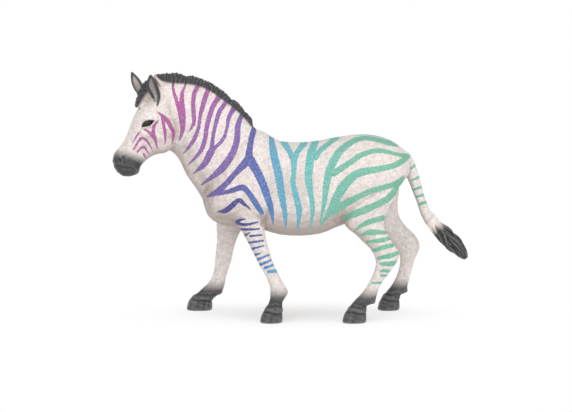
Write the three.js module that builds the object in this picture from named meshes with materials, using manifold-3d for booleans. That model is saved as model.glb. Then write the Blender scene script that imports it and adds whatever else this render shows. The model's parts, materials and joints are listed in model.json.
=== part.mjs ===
// A rigid moulded zebra figure, standing in mid-stride with its head turned to its left.
// Millimetres, +Z up, head towards -X, the zebra's left side towards -Y, soles on Z = 0.

import * as THREE from 'three';
import { mergeVertices } from 'three/addons/utils/BufferGeometryUtils.js';
import Module from 'manifold-3d';

const wasm = await Module();
wasm.setup();

const DEGREE = Math.PI / 180;

// Driving dimensions of the body
const LEG_LENGTH = 27.3; // floor to the lowest point of the belly
const BARREL_DEPTH = 38.3; // belly to withers
const BODY_LENGTH = 70.3; // breast to buttocks
const BODY_WIDTH = 30; // across the barrel

// Driving dimensions of the neck and head
const NECK_REACH = 28; // withers to poll, along the body
const NECK_RISE = 16; // withers to poll, upwards
const NECK_DEPTH = 33; // crest to throat where the neck leaves the body
const NECK_WIDTH = 20;
const NECK_BEND = 5; // how far the poll swings to the left
const HEAD_LENGTH = 33; // poll to lips
const HEAD_DEPTH = 18.4; // forehead to jaw
const HEAD_WIDTH = 10.8; // across the cheeks
const HEAD_SLOPE = 47 * DEGREE; // head axis below the level
const HEAD_TURN = 20 * DEGREE;

// Driving dimensions of the hair, ears and eyes
const MANE_HEIGHT = 4.6;
const MANE_WIDTH = 4.6;
const MANE_TUFTS = 22;
const FORELOCK_WIDTH = 5.4;
const FORELOCK_HEIGHT = 5; // above the forehead
const EAR_LENGTH = 11;
const EAR_WIDTH = 4.3;
const EAR_DEPTH = 3.4;
const EAR_WALL = 0.7;
const EAR_SPREAD = 7.2; // between the middles of the ears where they leave the head
const EYE_DIAMETER = 3.2;
const EYE_PROUD = 0.45; // how far the eyeball stands out of the cheek line
const NOSTRIL_LENGTH = 2.2;
const NOSTRIL_DEPTH = 0.7;
const MOUTH_SLIT = 0.35;

// Driving dimensions of the legs and hooves
const STRIDE = 14; // how far a foot is ahead of or behind the top of its leg
const LEG_DEPTH = 10; // front to back, just under the elbow
const LEG_WIDTH = 8;
const HOOF_HEIGHT = 3.4;
const HOOF_LENGTH = 7.5;
const HOOF_WIDTH = 6.2;

// Driving dimensions of the tail
const TAIL_REACH = 21.5; // dock to tip, along the body
const TAIL_DROP = 36; // dock to tip, downwards
const TAIL_THICKNESS = 4.6;
const TAIL_SWING = 1.5; // how far the tip swings to the right

// Joints between the mouldings
const SEAM_GAP = 0.3;
const NECK_PEG_DIAMETER = 9;
const NECK_PEG_LENGTH = 4;
const LEG_PEG_DIAMETER = 2.6;
const LEG_PEG_LENGTH = 4;
const TAIL_PEG_DIAMETER = 1.6;
const TAIL_PEG_LENGTH = 2.4;

// Fineness of the surfaces
const TORSO_RINGS = 30;
const NECK_RINGS = 21;
const HEAD_RINGS = 26;
const TAIL_RINGS = 14;
const TUFT_RINGS = 16;
const BODY_POINTS = 28;
const LEG_POINTS = 18;
const HAIR_POINTS = 12;
const EAR_POINTS = 8;
const PEG_SIDES = 16;
const BALL_SIDES = 16;

const WITHERS_HEIGHT = LEG_LENGTH + BARREL_DEPTH;
const HOOF_TOP = HOOF_HEIGHT + SEAM_GAP;
const CUTTER_SIZE = 2 * (BODY_LENGTH + NECK_REACH + HEAD_LENGTH + TAIL_REACH + WITHERS_HEIGHT + NECK_RISE);

// Each row: along the body, back line, belly line, width, where it is widest, fullness.
const torsoShares = [
  [0.0, 0.46, 0.33, 0.28, 0.5, 2],
  [0.02, 0.6, 0.22, 0.54, 0.55, 2.1],
  [0.06, 0.76, 0.15, 0.72, 0.58, 2.1],
  [0.13, 0.9, 0.11, 0.84, 0.6, 2.1],
  [0.21, 0.99, 0.11, 0.87, 0.6, 2.05],
  [0.29, 0.96, 0.08, 0.9, 0.6, 2.05],
  [0.37, 0.872, 0.04, 0.96, 0.57, 2.15],
  [0.47, 0.857, 0.03, 1.0, 0.56, 2.2],
  [0.57, 0.876, 0.05, 1.0, 0.55, 2.2],
  [0.65, 0.906, 0.11, 0.97, 0.52, 2.2],
  [0.74, 0.925, 0.17, 0.95, 0.5, 2.2],
  [0.82, 0.923, 0.24, 0.91, 0.5, 2.2],
  [0.9, 0.882, 0.37, 0.8, 0.5, 2.1],
  [0.96, 0.815, 0.49, 0.6, 0.5, 2],
  [1.0, 0.74, 0.6, 0.26, 0.5, 2],
];

const withersShare = 0.21;
const legTrackShare = 0.6333; // between the middles of the left and right feet, of the barrel's width
const pathStepShare = 0.01; // between two places whose difference gives a path's direction

// Each row: reach, rise, depth, lean in degrees, width, bend, where it is widest.
const neckShares = [
  [-0.14, -0.07, 1.05, 25, 1.16, 0, 0.6],
  [0.0, 0.17, 0.99, 25, 1.02, 0, 0.6],
  [0.17, 0.44, 0.94, 23, 0.86, 0, 0.6],
  [0.37, 0.68, 0.88, 20, 0.74, 0.1, 0.58],
  [0.56, 0.87, 0.78, 16, 0.64, 0.4, 0.56],
  [0.76, 0.97, 0.7, 11, 0.57, 0.7, 0.54],
  [0.93, 1.03, 0.68, 10, 0.5, 1.0, 0.5],
  [1.08, 1.0, 0.54, 14, 0.42, 1.2, 0.5],
];
const pollShares = [0.93, 0.98]; // reach and rise of the top of the head
const neckSeamShare = 1 / 7;
const neckPegShare = 0.5;

// Each row: along the head, face line, jaw line, width, where it is widest, fullness.
const headShares = [
  [0.04, 0.13, -0.48, 0.62, 0.4, 2],
  [0.15, 0.17, -0.63, 0.78, 0.35, 2],
  [0.27, 0.16, -0.78, 0.87, 0.33, 2.05],
  [0.42, 0.135, -0.86, 0.94, 0.3, 2.1],
  [0.53, 0.075, -0.78, 0.9, 0.32, 2.15],
  [0.64, 0.0, -0.66, 0.78, 0.38, 2.2],
  [0.74, -0.05, -0.6, 0.68, 0.45, 2.2],
  [0.83, -0.06, -0.59, 0.66, 0.5, 2.3],
  [0.9, -0.07, -0.61, 0.69, 0.52, 2.3],
  [0.965, -0.13, -0.56, 0.62, 0.5, 2.2],
  [1.01, -0.24, -0.47, 0.36, 0.5, 2],
];
const cheekPlaceShares = [0.36, -0.42]; // along the head, above its axis
const cheekSizeShares = [0.66, 0.64, 1.0]; // of the head's depth, depth and width
const eyePlaceShares = [0.449, -0.084];
const eyeReachShare = 0.86; // the cheek line beside the eye, of half the head's width
const nostrilPlaceShares = [0.885, -0.165];
const nostrilReachShare = 0.58;
const mouthPlaceShares = [0.985, -0.25];
const mouthSlope = 8 * DEGREE; // falling towards its corners
const mouthLengthShare = 0.19;

// Each row: height, place in the stride, front to back, tilt in degrees, width, splay.
const frontLeftLegShares = [
  [1.86, -0.12, 0.9, 0, 0.6, 0.5],
  [1.67, -0.1, 1.5, 0, 1.15, 0.72],
  [1.44, -0.05, 1.37, -3, 1.1, 0.8],
  [1.29, 0.05, 0.98, 1, 0.95, 0.87],
  [1.17, 0.12, 0.81, -6, 0.82, 0.89],
  [0.98, 0.24, 0.69, -11, 0.7, 0.93],
  [0.82, 0.35, 0.59, -10, 0.6, 0.96],
  [0.68, 0.45, 0.53, -8, 0.59, 0.98],
  [0.56, 0.56, 0.48, -2, 0.49, 0.99],
  [0.45, 0.65, 0.47, 0, 0.45, 1],
  [0.34, 0.73, 0.54, 0, 0.52, 1],
  [0.26, 0.74, 0.57, -6, 0.54, 1],
  [0.15, 0.68, 0.44, -10, 0.5, 1],
  [0.06, 0.65, 0.54, -8, 0.6, 1],
  [0.0, 0.61, 0.62, -6, 0.68, 1],
];
const frontRightLegShares = [
  [1.86, -0.12, 0.9, 0, 0.6, 0.5],
  [1.67, -0.2, 1.5, 0, 1.15, 0.72],
  [1.4, -0.32, 1.25, 0, 1.1, 0.8],
  [1.14, -0.43, 0.99, -4, 0.95, 0.86],
  [1.03, -0.48, 0.84, -1, 0.85, 0.9],
  [0.89, -0.53, 0.67, 0, 0.72, 0.93],
  [0.74, -0.58, 0.6, 0, 0.62, 0.96],
  [0.58, -0.62, 0.57, 0, 0.6, 0.98],
  [0.44, -0.67, 0.48, 0, 0.5, 0.99],
  [0.31, -0.73, 0.48, -4, 0.46, 1],
  [0.19, -0.81, 0.58, -14, 0.53, 1],
  [0.11, -0.93, 0.6, -22, 0.54, 1],
  [0.05, -1.04, 0.56, -18, 0.56, 1],
  [0.0, -1.12, 0.6, -10, 0.66, 1],
];
const hindLeftLegShares = [
  [2.1, 0.45, 1.1, 3, 0.9, 0.5],
  [1.8, 0.46, 1.8, 3, 1.45, 0.7],
  [1.49, 0.29, 1.58, 6, 1.3, 0.86],
  [1.27, 0.25, 1.31, 3, 1.1, 0.93],
  [1.14, 0.41, 1.13, -2, 0.95, 0.95],
  [1.01, 0.59, 1.02, -2, 0.78, 0.97],
  [0.89, 0.75, 0.95, -5, 0.68, 0.99],
  [0.78, 0.8, 0.8, 1, 0.62, 1],
  [0.67, 0.75, 0.64, 0, 0.53, 1],
  [0.52, 0.62, 0.51, 4, 0.45, 1],
  [0.35, 0.45, 0.46, 4, 0.44, 1],
  [0.2, 0.33, 0.56, -14, 0.53, 1],
  [0.11, 0.17, 0.52, -16, 0.52, 1],
  [0.03, 0.1, 0.57, -9, 0.64, 1],
  [0.0, 0.08, 0.6, -6, 0.67, 1],
];
const hindRightLegShares = [
  [2.1, 0.45, 1.1, 3, 0.9, 0.5],
  [1.8, 0.48, 1.8, 3, 1.45, 0.7],
  [1.45, 0.5, 1.65, 4, 1.3, 0.86],
  [1.25, 0.6, 1.42, 3, 1.12, 0.93],
  [1.14, 0.74, 1.3, 3, 1.0, 0.93],
  [1.05, 0.92, 1.14, 2, 0.88, 0.95],
  [0.94, 1.14, 1.1, 0, 0.76, 0.97],
  [0.83, 1.28, 0.96, -3, 0.67, 0.99],
  [0.73, 1.35, 0.74, 0, 0.62, 1],
  [0.58, 1.33, 0.5, 0, 0.52, 1],
  [0.41, 1.27, 0.45, 0, 0.45, 1],
  [0.25, 1.18, 0.5, -4, 0.46, 1],
  [0.14, 1.1, 0.56, -12, 0.53, 1],
  [0.06, 0.98, 0.53, -12, 0.56, 1],
  [0.0, 0.92, 0.6, -7, 0.67, 1],
];
const foreStationShare = 0.219;
const hindStationShare = 0.731;

// Each row: height, shift backwards, length, tilt, width.
const hoofShares = [
  [1.0, 0.0, 0.86, 1, 0.86],
  [0.75, -0.03, 0.9, 0.7, 0.9],
  [0.3, -0.07, 0.97, 0.2, 0.96],
  [0.0, -0.09, 1.0, 0, 1.0],
];

// Each row: how high the hair stands over the crest, evenly spaced from withers to poll.
const maneHeightShares = [[0.24], [0.46], [0.62], [0.7], [0.77], [0.73], [0.7], [0.56]];
const maneWidthShares = [[0.5], [0.8], [0.95], [1.0], [1.0], [1.0], [0.95], [0.8]];
const maneSpanShares = [0.04, 0.985]; // where it starts and ends along the neck
const maneSeatShare = 0.5; // how deep it saddles the crest
const tuftHeightShares = [0.84, 1.0, 0.94];
const tuftWidthShares = [0.86, 1.0, 0.96];

// Each row: along the head, height over the forehead, width.
const forelockShares = [
  [0.02, 0.8, 0.7],
  [0.09, 1.02, 0.9],
  [0.18, 1.04, 1.0],
  [0.27, 0.88, 0.95],
  [0.34, 0.66, 0.74],
  [0.4, 0.42, 0.45],
  [0.43, 0.14, 0.16],
];
const forelockFootShare = 0.1; // the foot of the hair, inside the forehead
const hairPartShare = 0.045; // where mane and forelock part, along the head

// Each row: along the ear, width, depth, hollow (negative is solid).
const earShares = [
  [0.0, 0.62, 0.7, -1],
  [0.14, 0.66, 0.78, -0.9],
  [0.26, 0.8, 0.95, 0.1],
  [0.42, 0.98, 1.0, 0.55],
  [0.58, 1.0, 0.92, 0.6],
  [0.74, 0.82, 0.74, 0.5],
  [0.88, 0.5, 0.46, 0.1],
  [0.97, 0.22, 0.24, -0.6],
  [1.0, 0.06, 0.08, -1],
];
const earRootShares = { left: [0.24, 0.0], right: [0.29, 0.08] }; // along the head, above its axis
const earLean = { left: 36 * DEGREE, right: 27 * DEGREE }; // back from square to the head
const earFlare = 9 * DEGREE; // outwards
const earTwist = { left: 42 * DEGREE, right: 24 * DEGREE }; // the opening, from ahead to the left

// Each row: reach, drop, thickness, swing.
const tailShares = [
  [-0.16, 0.03, 1.0, 0],
  [0.0, 0.025, 1.06, 0],
  [0.085, 0.09, 1.0, 0],
  [0.185, 0.24, 0.88, 0.1],
  [0.235, 0.335, 0.76, 0.2],
  [0.31, 0.465, 0.7, 0.3],
  [0.39, 0.585, 0.8, 0.45],
  [0.52, 0.7, 1.02, 0.6],
  [0.65, 0.765, 1.2, 0.7],
  [0.77, 0.845, 1.24, 0.8],
  [0.89, 0.92, 1.08, 0.9],
  [0.99, 0.99, 0.66, 1],
  [1.03, 1.015, 0.2, 1],
];
const dockPlaceShares = [0.965, 0.76]; // along the body, up the barrel
const dockSeamShare = 0.24; // where the tail leaves the body, along its path
const tuftSeamShare = 0.53; // where the dark tuft starts
const tailSideShare = 0.86; // its width, of its thickness
const tuftTwist = 130 * DEGREE;

const UP = new THREE.Vector3(0, 0, 1);
const LATERAL = new THREE.Vector3(0, 1, 0);

// Materials
function moulded(color, roughness) {
  return new THREE.MeshStandardMaterial({ color, roughness, metalness: 0 });
}
const hidePaint = moulded('#e4dbd6', 0.6);
const hairPaint = moulded('#4e4b4f', 0.65);
const hoofPaint = moulded('#4a4a4c', 0.45);
const eyePaint = moulded('#17161a', 0.15);

// A closed three.js geometry as a solid that can be joined and cut
function solidFrom(geometry) {
  const bare = geometry.clone();
  bare.deleteAttribute('normal');
  bare.deleteAttribute('uv');
  const merged = mergeVertices(bare);
  const vertProperties = new Float32Array(merged.attributes.position.array);
  const triVerts = new Uint32Array(merged.index.array);
  return new wasm.Manifold(new wasm.Mesh({ numProp: 3, vertProperties, triVerts }));
}

function signedVolume(points, faces) {
  let sum = 0;
  for (let f = 0; f < faces.length; f += 3) {
    const [a, b, c] = [points[faces[f]], points[faces[f + 1]], points[faces[f + 2]]];
    sum += a.dot(b.clone().cross(c));
  }
  return sum;
}

// A closed skin over rings of equal count, each end shut by a fan
function solidFromRings(rings) {
  const count = rings[0].length;
  const points = rings.flat();
  const faces = [];
  for (let i = 0; i + 1 < rings.length; i += 1) {
    for (let k = 0; k < count; k += 1) {
      const a = i * count + k;
      const b = i * count + ((k + 1) % count);
      faces.push(a, b, b + count, a, b + count, a + count);
    }
  }
  const last = (rings.length - 1) * count;
  const middleOf = (ring) => ring.reduce((sum, p) => sum.add(p), new THREE.Vector3()).divideScalar(count);
  points.push(middleOf(rings[0]), middleOf(rings.at(-1)));
  for (let k = 0; k < count; k += 1) {
    const next = (k + 1) % count;
    faces.push(points.length - 2, next, k);
    faces.push(points.length - 1, last + k, last + next);
  }
  if (signedVolume(points, faces) < 0) faces.reverse();
  const skin = new THREE.BufferGeometry();
  skin.setAttribute('position', new THREE.Float32BufferAttribute(points.flatMap((p) => p.toArray()), 3));
  skin.setIndex(faces);
  return solidFrom(skin);
}

// The ring of one cross-section: two half ovals that meet where it is widest
function ringOf(cut, count, grow) {
  const across = cut.bottom.clone().sub(cut.top);
  const span = across.length() + grow + grow;
  across.normalize();
  const top = cut.top.clone().addScaledVector(across, -grow);
  const bend = 2 / cut.fullness;
  const ring = [];
  for (let k = 0; k < count; k += 1) {
    const turn = (2 * Math.PI * k) / count;
    const rise = Math.abs(Math.cos(turn)) ** bend;
    const reach = Math.sign(Math.sin(turn)) * Math.abs(Math.sin(turn)) ** bend;
    const down = Math.cos(turn) > 0 ? cut.widest * (1 - rise) : cut.widest + (1 - cut.widest) * rise;
    const point = top.clone().addScaledVector(across, down * span);
    ring.push(point.addScaledVector(cut.side, reach * (cut.halfWidth + grow)));
  }
  return ring;
}

function loft(cuts, count, grow = 0) {
  return solidFromRings(cuts.map((cut) => ringOf(cut, count, grow)));
}

// The row at a place along a table (0 first, 1 last), on a smooth curve through its rows
function rowAt(rows, share) {
  const place = THREE.MathUtils.clamp(share, 0, 1) * (rows.length - 1);
  const i = Math.min(Math.floor(place), rows.length - 2);
  const f = place - i;
  const pick = (k) => rows[THREE.MathUtils.clamp(k, 0, rows.length - 1)];
  return rows[i].map((b, j) => {
    const a = pick(i - 1)[j];
    const c = pick(i + 1)[j];
    const d = pick(i + 2)[j];
    const slopeIn = (c - a) / 2;
    const slopeOut = (d - b) / 2;
    const square = f * f;
    const cube = square * f;
    return b * (2 * cube - 3 * square + 1) + c * (3 * square - 2 * cube)
      + slopeIn * (cube - 2 * square + f) + slopeOut * (cube - square);
  });
}

// Evenly spaced shares from one end to the other
function spread(steps, from = 0, to = 1) {
  return Array.from({ length: steps + 1 }, (_, k) => from + ((to - from) * k) / steps);
}

// Everything on one side of a plane, as a block larger than the figure
function sideOf(origin, direction) {
  const block = new THREE.BoxGeometry(CUTTER_SIZE, CUTTER_SIZE, CUTTER_SIZE);
  block.translate(0, 0, CUTTER_SIZE / 2);
  block.applyQuaternion(new THREE.Quaternion().setFromUnitVectors(UP, direction));
  block.translate(origin.x, origin.y, origin.z);
  return solidFrom(block);
}

// A round peg from a point along a direction
function peg(origin, direction, diameter, length) {
  const rod = new THREE.CylinderGeometry(diameter / 2, diameter / 2, length, PEG_SIDES);
  rod.translate(0, length / 2, 0);
  rod.applyQuaternion(new THREE.Quaternion().setFromUnitVectors(LATERAL, direction));
  rod.translate(origin.x, origin.y, origin.z);
  return solidFrom(rod);
}

// A ball stretched along three directions
function ball(centre, directions, radii) {
  const sphere = new THREE.SphereGeometry(1, BALL_SIDES, BALL_SIDES / 2);
  const [first, second, third] = directions.map((way, k) => way.clone().multiplyScalar(radii[k]));
  sphere.applyMatrix4(new THREE.Matrix4().makeBasis(first, second, third).setPosition(centre));
  return solidFrom(sphere);
}

// Torso
function torsoCut(share) {
  const [along, back, belly, width, widest, fullness] = rowAt(torsoShares, share);
  const x = along * BODY_LENGTH;
  return {
    top: new THREE.Vector3(x, 0, LEG_LENGTH + back * BARREL_DEPTH),
    bottom: new THREE.Vector3(x, 0, LEG_LENGTH + belly * BARREL_DEPTH),
    side: LATERAL,
    halfWidth: (width * BODY_WIDTH) / 2,
    widest,
    fullness,
  };
}

// Neck: each cross-section leans back and turns with the bend
const withers = new THREE.Vector3(withersShare * BODY_LENGTH, 0, WITHERS_HEIGHT);

function neckCut(share) {
  const [reach, rise, depth, lean, width, bend, widest] = rowAt(neckShares, share);
  const turn = HEAD_TURN * THREE.MathUtils.clamp(bend, 0, 1);
  const top = withers.clone();
  top.add(new THREE.Vector3(-reach * NECK_REACH, -bend * NECK_BEND, rise * NECK_RISE));
  const down = new THREE.Vector3(-Math.sin(lean * DEGREE), 0, -Math.cos(lean * DEGREE));
  return {
    top,
    bottom: top.clone().addScaledVector(down, depth * NECK_DEPTH),
    side: new THREE.Vector3(-Math.sin(turn), Math.cos(turn), 0),
    halfWidth: (width * NECK_WIDTH) / 2,
    widest,
    fullness: 2,
  };
}

// Head: its axis runs down from the poll, its own plane turned to the left
const poll = withers.clone();
poll.add(new THREE.Vector3(-pollShares[0] * NECK_REACH, -NECK_BEND, pollShares[1] * NECK_RISE));
const headSide = new THREE.Vector3(-Math.sin(HEAD_TURN), Math.cos(HEAD_TURN), 0);
const headAhead = new THREE.Vector3(-Math.cos(HEAD_TURN), -Math.sin(HEAD_TURN), 0);
const headAxis = headAhead.clone().multiplyScalar(Math.cos(HEAD_SLOPE)).addScaledVector(UP, -Math.sin(HEAD_SLOPE));
const headNormal = headAhead.clone().multiplyScalar(Math.sin(HEAD_SLOPE)).addScaledVector(UP, Math.cos(HEAD_SLOPE));

function headPoint(alongShare, aboveShare, lateral = 0) {
  return poll.clone()
    .addScaledVector(headAxis, alongShare * HEAD_LENGTH)
    .addScaledVector(headNormal, aboveShare * HEAD_DEPTH)
    .addScaledVector(headSide, lateral);
}

function headCut(share) {
  const [along, face, jaw, width, widest, fullness] = rowAt(headShares, share);
  return {
    top: headPoint(along, face),
    bottom: headPoint(along, jaw),
    side: headSide,
    halfWidth: (width * HEAD_WIDTH) / 2,
    widest,
    fullness,
  };
}

function cheeks(grow) {
  const [long, deep, wide] = cheekSizeShares;
  const radii = [(long * HEAD_DEPTH) / 2 + grow, (deep * HEAD_DEPTH) / 2 + grow, (wide * HEAD_WIDTH) / 2 + grow];
  return ball(headPoint(...cheekPlaceShares), [headAxis, headNormal, headSide], radii);
}

// The body, neck and head as one skin, grown where a neighbour has to clear it
function figureSkin(grow = 0) {
  const torso = loft(spread(TORSO_RINGS).map(torsoCut), BODY_POINTS, grow);
  const neck = loft(spread(NECK_RINGS).map(neckCut), BODY_POINTS, grow);
  const head = loft(spread(HEAD_RINGS).map(headCut), BODY_POINTS, grow);
  return torso.add(neck).add(head).add(cheeks(grow));
}

// Legs: side is -1 on the left, 1 on the right
const legs = {
  front_left: { rows: frontLeftLegShares, side: -1, station: foreStationShare },
  front_right: { rows: frontRightLegShares, side: 1, station: foreStationShare },
  hind_left: { rows: hindLeftLegShares, side: -1, station: hindStationShare },
  hind_right: { rows: hindRightLegShares, side: 1, station: hindStationShare },
};

function legCut(leg, share) {
  const [height, stride, depth, tilt, width, splay] = rowAt(leg.rows, share);
  const centre = new THREE.Vector3(
    leg.station * BODY_LENGTH + stride * STRIDE,
    (leg.side * splay * legTrackShare * BODY_WIDTH) / 2,
    HOOF_TOP + height * (LEG_LENGTH - HOOF_TOP),
  );
  const back = new THREE.Vector3(Math.cos(tilt * DEGREE), 0, Math.sin(tilt * DEGREE));
  return {
    centre,
    top: centre.clone().addScaledVector(back, (-depth * LEG_DEPTH) / 2),
    bottom: centre.clone().addScaledVector(back, (depth * LEG_DEPTH) / 2),
    side: LATERAL,
    halfWidth: (width * LEG_WIDTH) / 2,
    widest: 0.5,
    fullness: 2.1,
  };
}

function legLoft(leg, grow = 0) {
  return loft(spread(2 * (leg.rows.length - 1)).map((share) => legCut(leg, share)), LEG_POINTS, grow);
}

// The middle of a leg where it crosses the seam under the belly
function legSeam(leg) {
  const cuts = spread(BODY_POINTS * 4).map((share) => legCut(leg, share));
  const off = (cut) => Math.abs(cut.centre.z - LEG_LENGTH);
  const nearest = cuts.reduce((best, cut) => (off(cut) < off(best) ? cut : best));
  return new THREE.Vector3(nearest.centre.x, nearest.centre.y, LEG_LENGTH - SEAM_GAP);
}

function lowerLeg(leg) {
  const under = sideOf(new THREE.Vector3(0, 0, LEG_LENGTH - SEAM_GAP), UP.clone().negate());
  const foot = legSeam(leg);
  foot.z -= LEG_PEG_DIAMETER / 4;
  const pin = peg(foot, UP, LEG_PEG_DIAMETER, LEG_PEG_LENGTH + LEG_PEG_DIAMETER / 4);
  return legLoft(leg).intersect(under).add(pin);
}

function legSocket(leg) {
  const bore = LEG_PEG_DIAMETER + 2 * SEAM_GAP;
  return peg(legSeam(leg), UP, bore, LEG_PEG_LENGTH + SEAM_GAP + SEAM_GAP);
}

function hoof(leg) {
  const ankle = legCut(leg, 1);
  const anklePitch = leg.rows.at(-1)[3];
  const cuts = spread(2 * (hoofShares.length - 1)).map((share) => {
    const [height, shift, length, pitch, width] = rowAt(hoofShares, share);
    const middle = new THREE.Vector3(ankle.centre.x + shift * HOOF_LENGTH, ankle.centre.y, height * HOOF_HEIGHT);
    const tilt = pitch * anklePitch * DEGREE;
    const back = new THREE.Vector3(Math.cos(tilt), 0, Math.sin(tilt));
    return {
      top: middle.clone().addScaledVector(back, (-length * HOOF_LENGTH) / 2),
      bottom: middle.clone().addScaledVector(back, (length * HOOF_LENGTH) / 2),
      side: LATERAL,
      halfWidth: (width * HOOF_WIDTH) / 2,
      widest: 0.45,
      fullness: 2.3,
    };
  });
  return loft(cuts, LEG_POINTS);
}

// Tail: cross-sections square to its path, the tuft's twisting as it runs down
function tailMiddle(share) {
  const [reach, drop, , swing] = rowAt(tailShares, share);
  return new THREE.Vector3(
    dockPlaceShares[0] * BODY_LENGTH + reach * TAIL_REACH,
    swing * TAIL_SWING,
    LEG_LENGTH + dockPlaceShares[1] * BARREL_DEPTH - drop * TAIL_DROP,
  );
}

function tailWay(share) {
  const inside = THREE.MathUtils.clamp(share, pathStepShare, 1 - pathStepShare);
  return tailMiddle(inside + pathStepShare).sub(tailMiddle(inside - pathStepShare)).normalize();
}

function tailCut(share, twist = 0, shift = 0) {
  const thickness = rowAt(tailShares, share)[2] * TAIL_THICKNESS;
  const way = tailWay(share);
  const side = LATERAL.clone().applyAxisAngle(way, twist);
  const outward = way.clone().cross(side).normalize();
  const middle = tailMiddle(share).addScaledVector(way, shift);
  return {
    top: middle.clone().addScaledVector(outward, thickness / 2),
    bottom: middle.clone().addScaledVector(outward, -thickness / 2),
    side,
    halfWidth: (tailSideShare * thickness) / 2,
    widest: 0.5,
    fullness: 2,
  };
}

function tailStub() {
  return loft(spread(TAIL_RINGS / 2, 0, dockSeamShare).map((share) => tailCut(share)), HAIR_POINTS);
}

function tailLoft() {
  const cuts = spread(TAIL_RINGS, dockSeamShare, tuftSeamShare).map((share) => tailCut(share));
  cuts[0] = tailCut(dockSeamShare, 0, SEAM_GAP);
  return loft(cuts, HAIR_POINTS);
}

function tuftLoft() {
  const shares = spread(TUFT_RINGS, tuftSeamShare, 1);
  const cuts = shares.map((share, k) => tailCut(share, (tuftTwist * k) / shares.length));
  cuts[0] = tailCut(tuftSeamShare, 0, SEAM_GAP);
  return loft(cuts, HAIR_POINTS);
}

// Mane: a brush along the crest, cut into tufts
function maneLoft() {
  const [start, end] = maneSpanShares;
  const shares = spread(MANE_TUFTS * tuftHeightShares.length, start, end);
  const cuts = shares.map((share, k) => {
    const cut = neckCut(share);
    const ahead = neckCut(share + pathStepShare).top.clone().sub(neckCut(share - pathStepShare).top).normalize();
    const outward = ahead.clone().cross(cut.side).normalize();
    if (outward.z < 0) outward.negate();
    const tuft = k % tuftHeightShares.length;
    const height = rowAt(maneHeightShares, share)[0] * MANE_HEIGHT;
    return {
      top: cut.top.clone().addScaledVector(outward, height * tuftHeightShares[tuft]),
      bottom: cut.top.clone().addScaledVector(outward, -maneSeatShare * MANE_HEIGHT),
      side: cut.side,
      halfWidth: (rowAt(maneWidthShares, share)[0] * tuftWidthShares[tuft] * MANE_WIDTH) / 2,
      widest: 0.6,
      fullness: 2.2,
    };
  });
  return loft(cuts, HAIR_POINTS);
}

function forelockLoft() {
  const cuts = spread(3 * (forelockShares.length - 1)).map((share, k) => {
    const [along, height, width] = rowAt(forelockShares, share);
    const tuft = k % tuftHeightShares.length;
    const top = headPoint(along, forelockFootShare);
    top.addScaledVector(headNormal, height * tuftHeightShares[tuft] * FORELOCK_HEIGHT);
    return {
      top,
      bottom: headPoint(along, -forelockFootShare),
      side: headSide,
      halfWidth: (width * tuftWidthShares[tuft] * FORELOCK_WIDTH) / 2,
      widest: 0.6,
      fullness: 2.1,
    };
  });
  return loft(cuts, HAIR_POINTS);
}

// Ears: leaf-shaped cups, side is -1 on the left, 1 on the right
function earSolid(name, side, grow = 0) {
  const root = headPoint(...earRootShares[name], (side * EAR_SPREAD) / 2);
  const way = headNormal.clone().multiplyScalar(Math.cos(earLean[name])).addScaledVector(headAxis, -Math.sin(earLean[name]));
  way.addScaledVector(headSide, side * Math.tan(earFlare)).normalize();
  const facing = headAhead.clone().applyAxisAngle(UP, earTwist[name]);
  facing.addScaledVector(way, -facing.dot(way)).normalize();
  const beside = way.clone().cross(facing).normalize();
  const rings = spread(2 * (earShares.length - 1)).map((share) => {
    const [along, width, depth, hollow] = rowAt(earShares, share);
    const middle = root.clone().addScaledVector(way, along * EAR_LENGTH);
    const reach = (width * EAR_WIDTH) / 2 + grow;
    const back = (depth * EAR_DEPTH) / 2 + grow;
    const inner = grow > 0 ? -back : hollow * back;
    const innerReach = Math.max(reach - EAR_WALL, reach / 2);
    const arc = spread(EAR_POINTS, -90 * DEGREE, 90 * DEGREE);
    const outside = arc.map((turn) => middle.clone()
      .addScaledVector(beside, reach * Math.sin(turn))
      .addScaledVector(facing, -back * Math.cos(turn)));
    const inside = arc.reverse().map((turn) => middle.clone()
      .addScaledVector(beside, innerReach * Math.sin(turn))
      .addScaledVector(facing, -inner * Math.cos(turn)));
    return [...outside, ...inside];
  });
  return solidFromRings(rings);
}

// Eyes, nostrils and the mouth line
function eyeball(side, grow = 0) {
  const reach = (eyeReachShare * HEAD_WIDTH) / 2 + EYE_PROUD - EYE_DIAMETER / 2;
  const radius = EYE_DIAMETER / 2 + grow;
  return ball(headPoint(...eyePlaceShares, side * reach), [headAxis, headNormal, headSide], [radius, radius, radius]);
}

function nostril(side) {
  const centre = headPoint(...nostrilPlaceShares, (side * nostrilReachShare * HEAD_WIDTH) / 2);
  return ball(centre, [headAxis, headNormal, headSide], [NOSTRIL_LENGTH / 2, NOSTRIL_LENGTH / 3, NOSTRIL_DEPTH]);
}

function mouth() {
  const length = mouthLengthShare * HEAD_LENGTH;
  const slit = new THREE.BoxGeometry(2 * length, HEAD_WIDTH, MOUTH_SLIT);
  const inwards = headAhead.clone().multiplyScalar(-Math.cos(mouthSlope)).addScaledVector(UP, -Math.sin(mouthSlope));
  const across = headSide.clone().negate();
  const normal = inwards.clone().cross(across).normalize();
  slit.applyMatrix4(new THREE.Matrix4().makeBasis(inwards, across, normal));
  const front = headPoint(...mouthPlaceShares);
  slit.translate(front.x, front.y, front.z);
  return solidFrom(slit);
}

// The figure parted at the base of the neck, under the belly and at the dock
const neckSeam = neckCut(neckSeamShare);
const neckSeamMiddle = neckSeam.top.clone().lerp(neckSeam.bottom, neckPegShare);
const neckSeamNormal = neckSeam.bottom.clone().sub(neckSeam.top).cross(LATERAL).normalize();
if (neckSeamNormal.x > 0) neckSeamNormal.negate();
const neckBack = neckSeamNormal.clone().negate();

const skin = figureSkin();
const clearSkin = figureSkin(SEAM_GAP);

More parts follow.
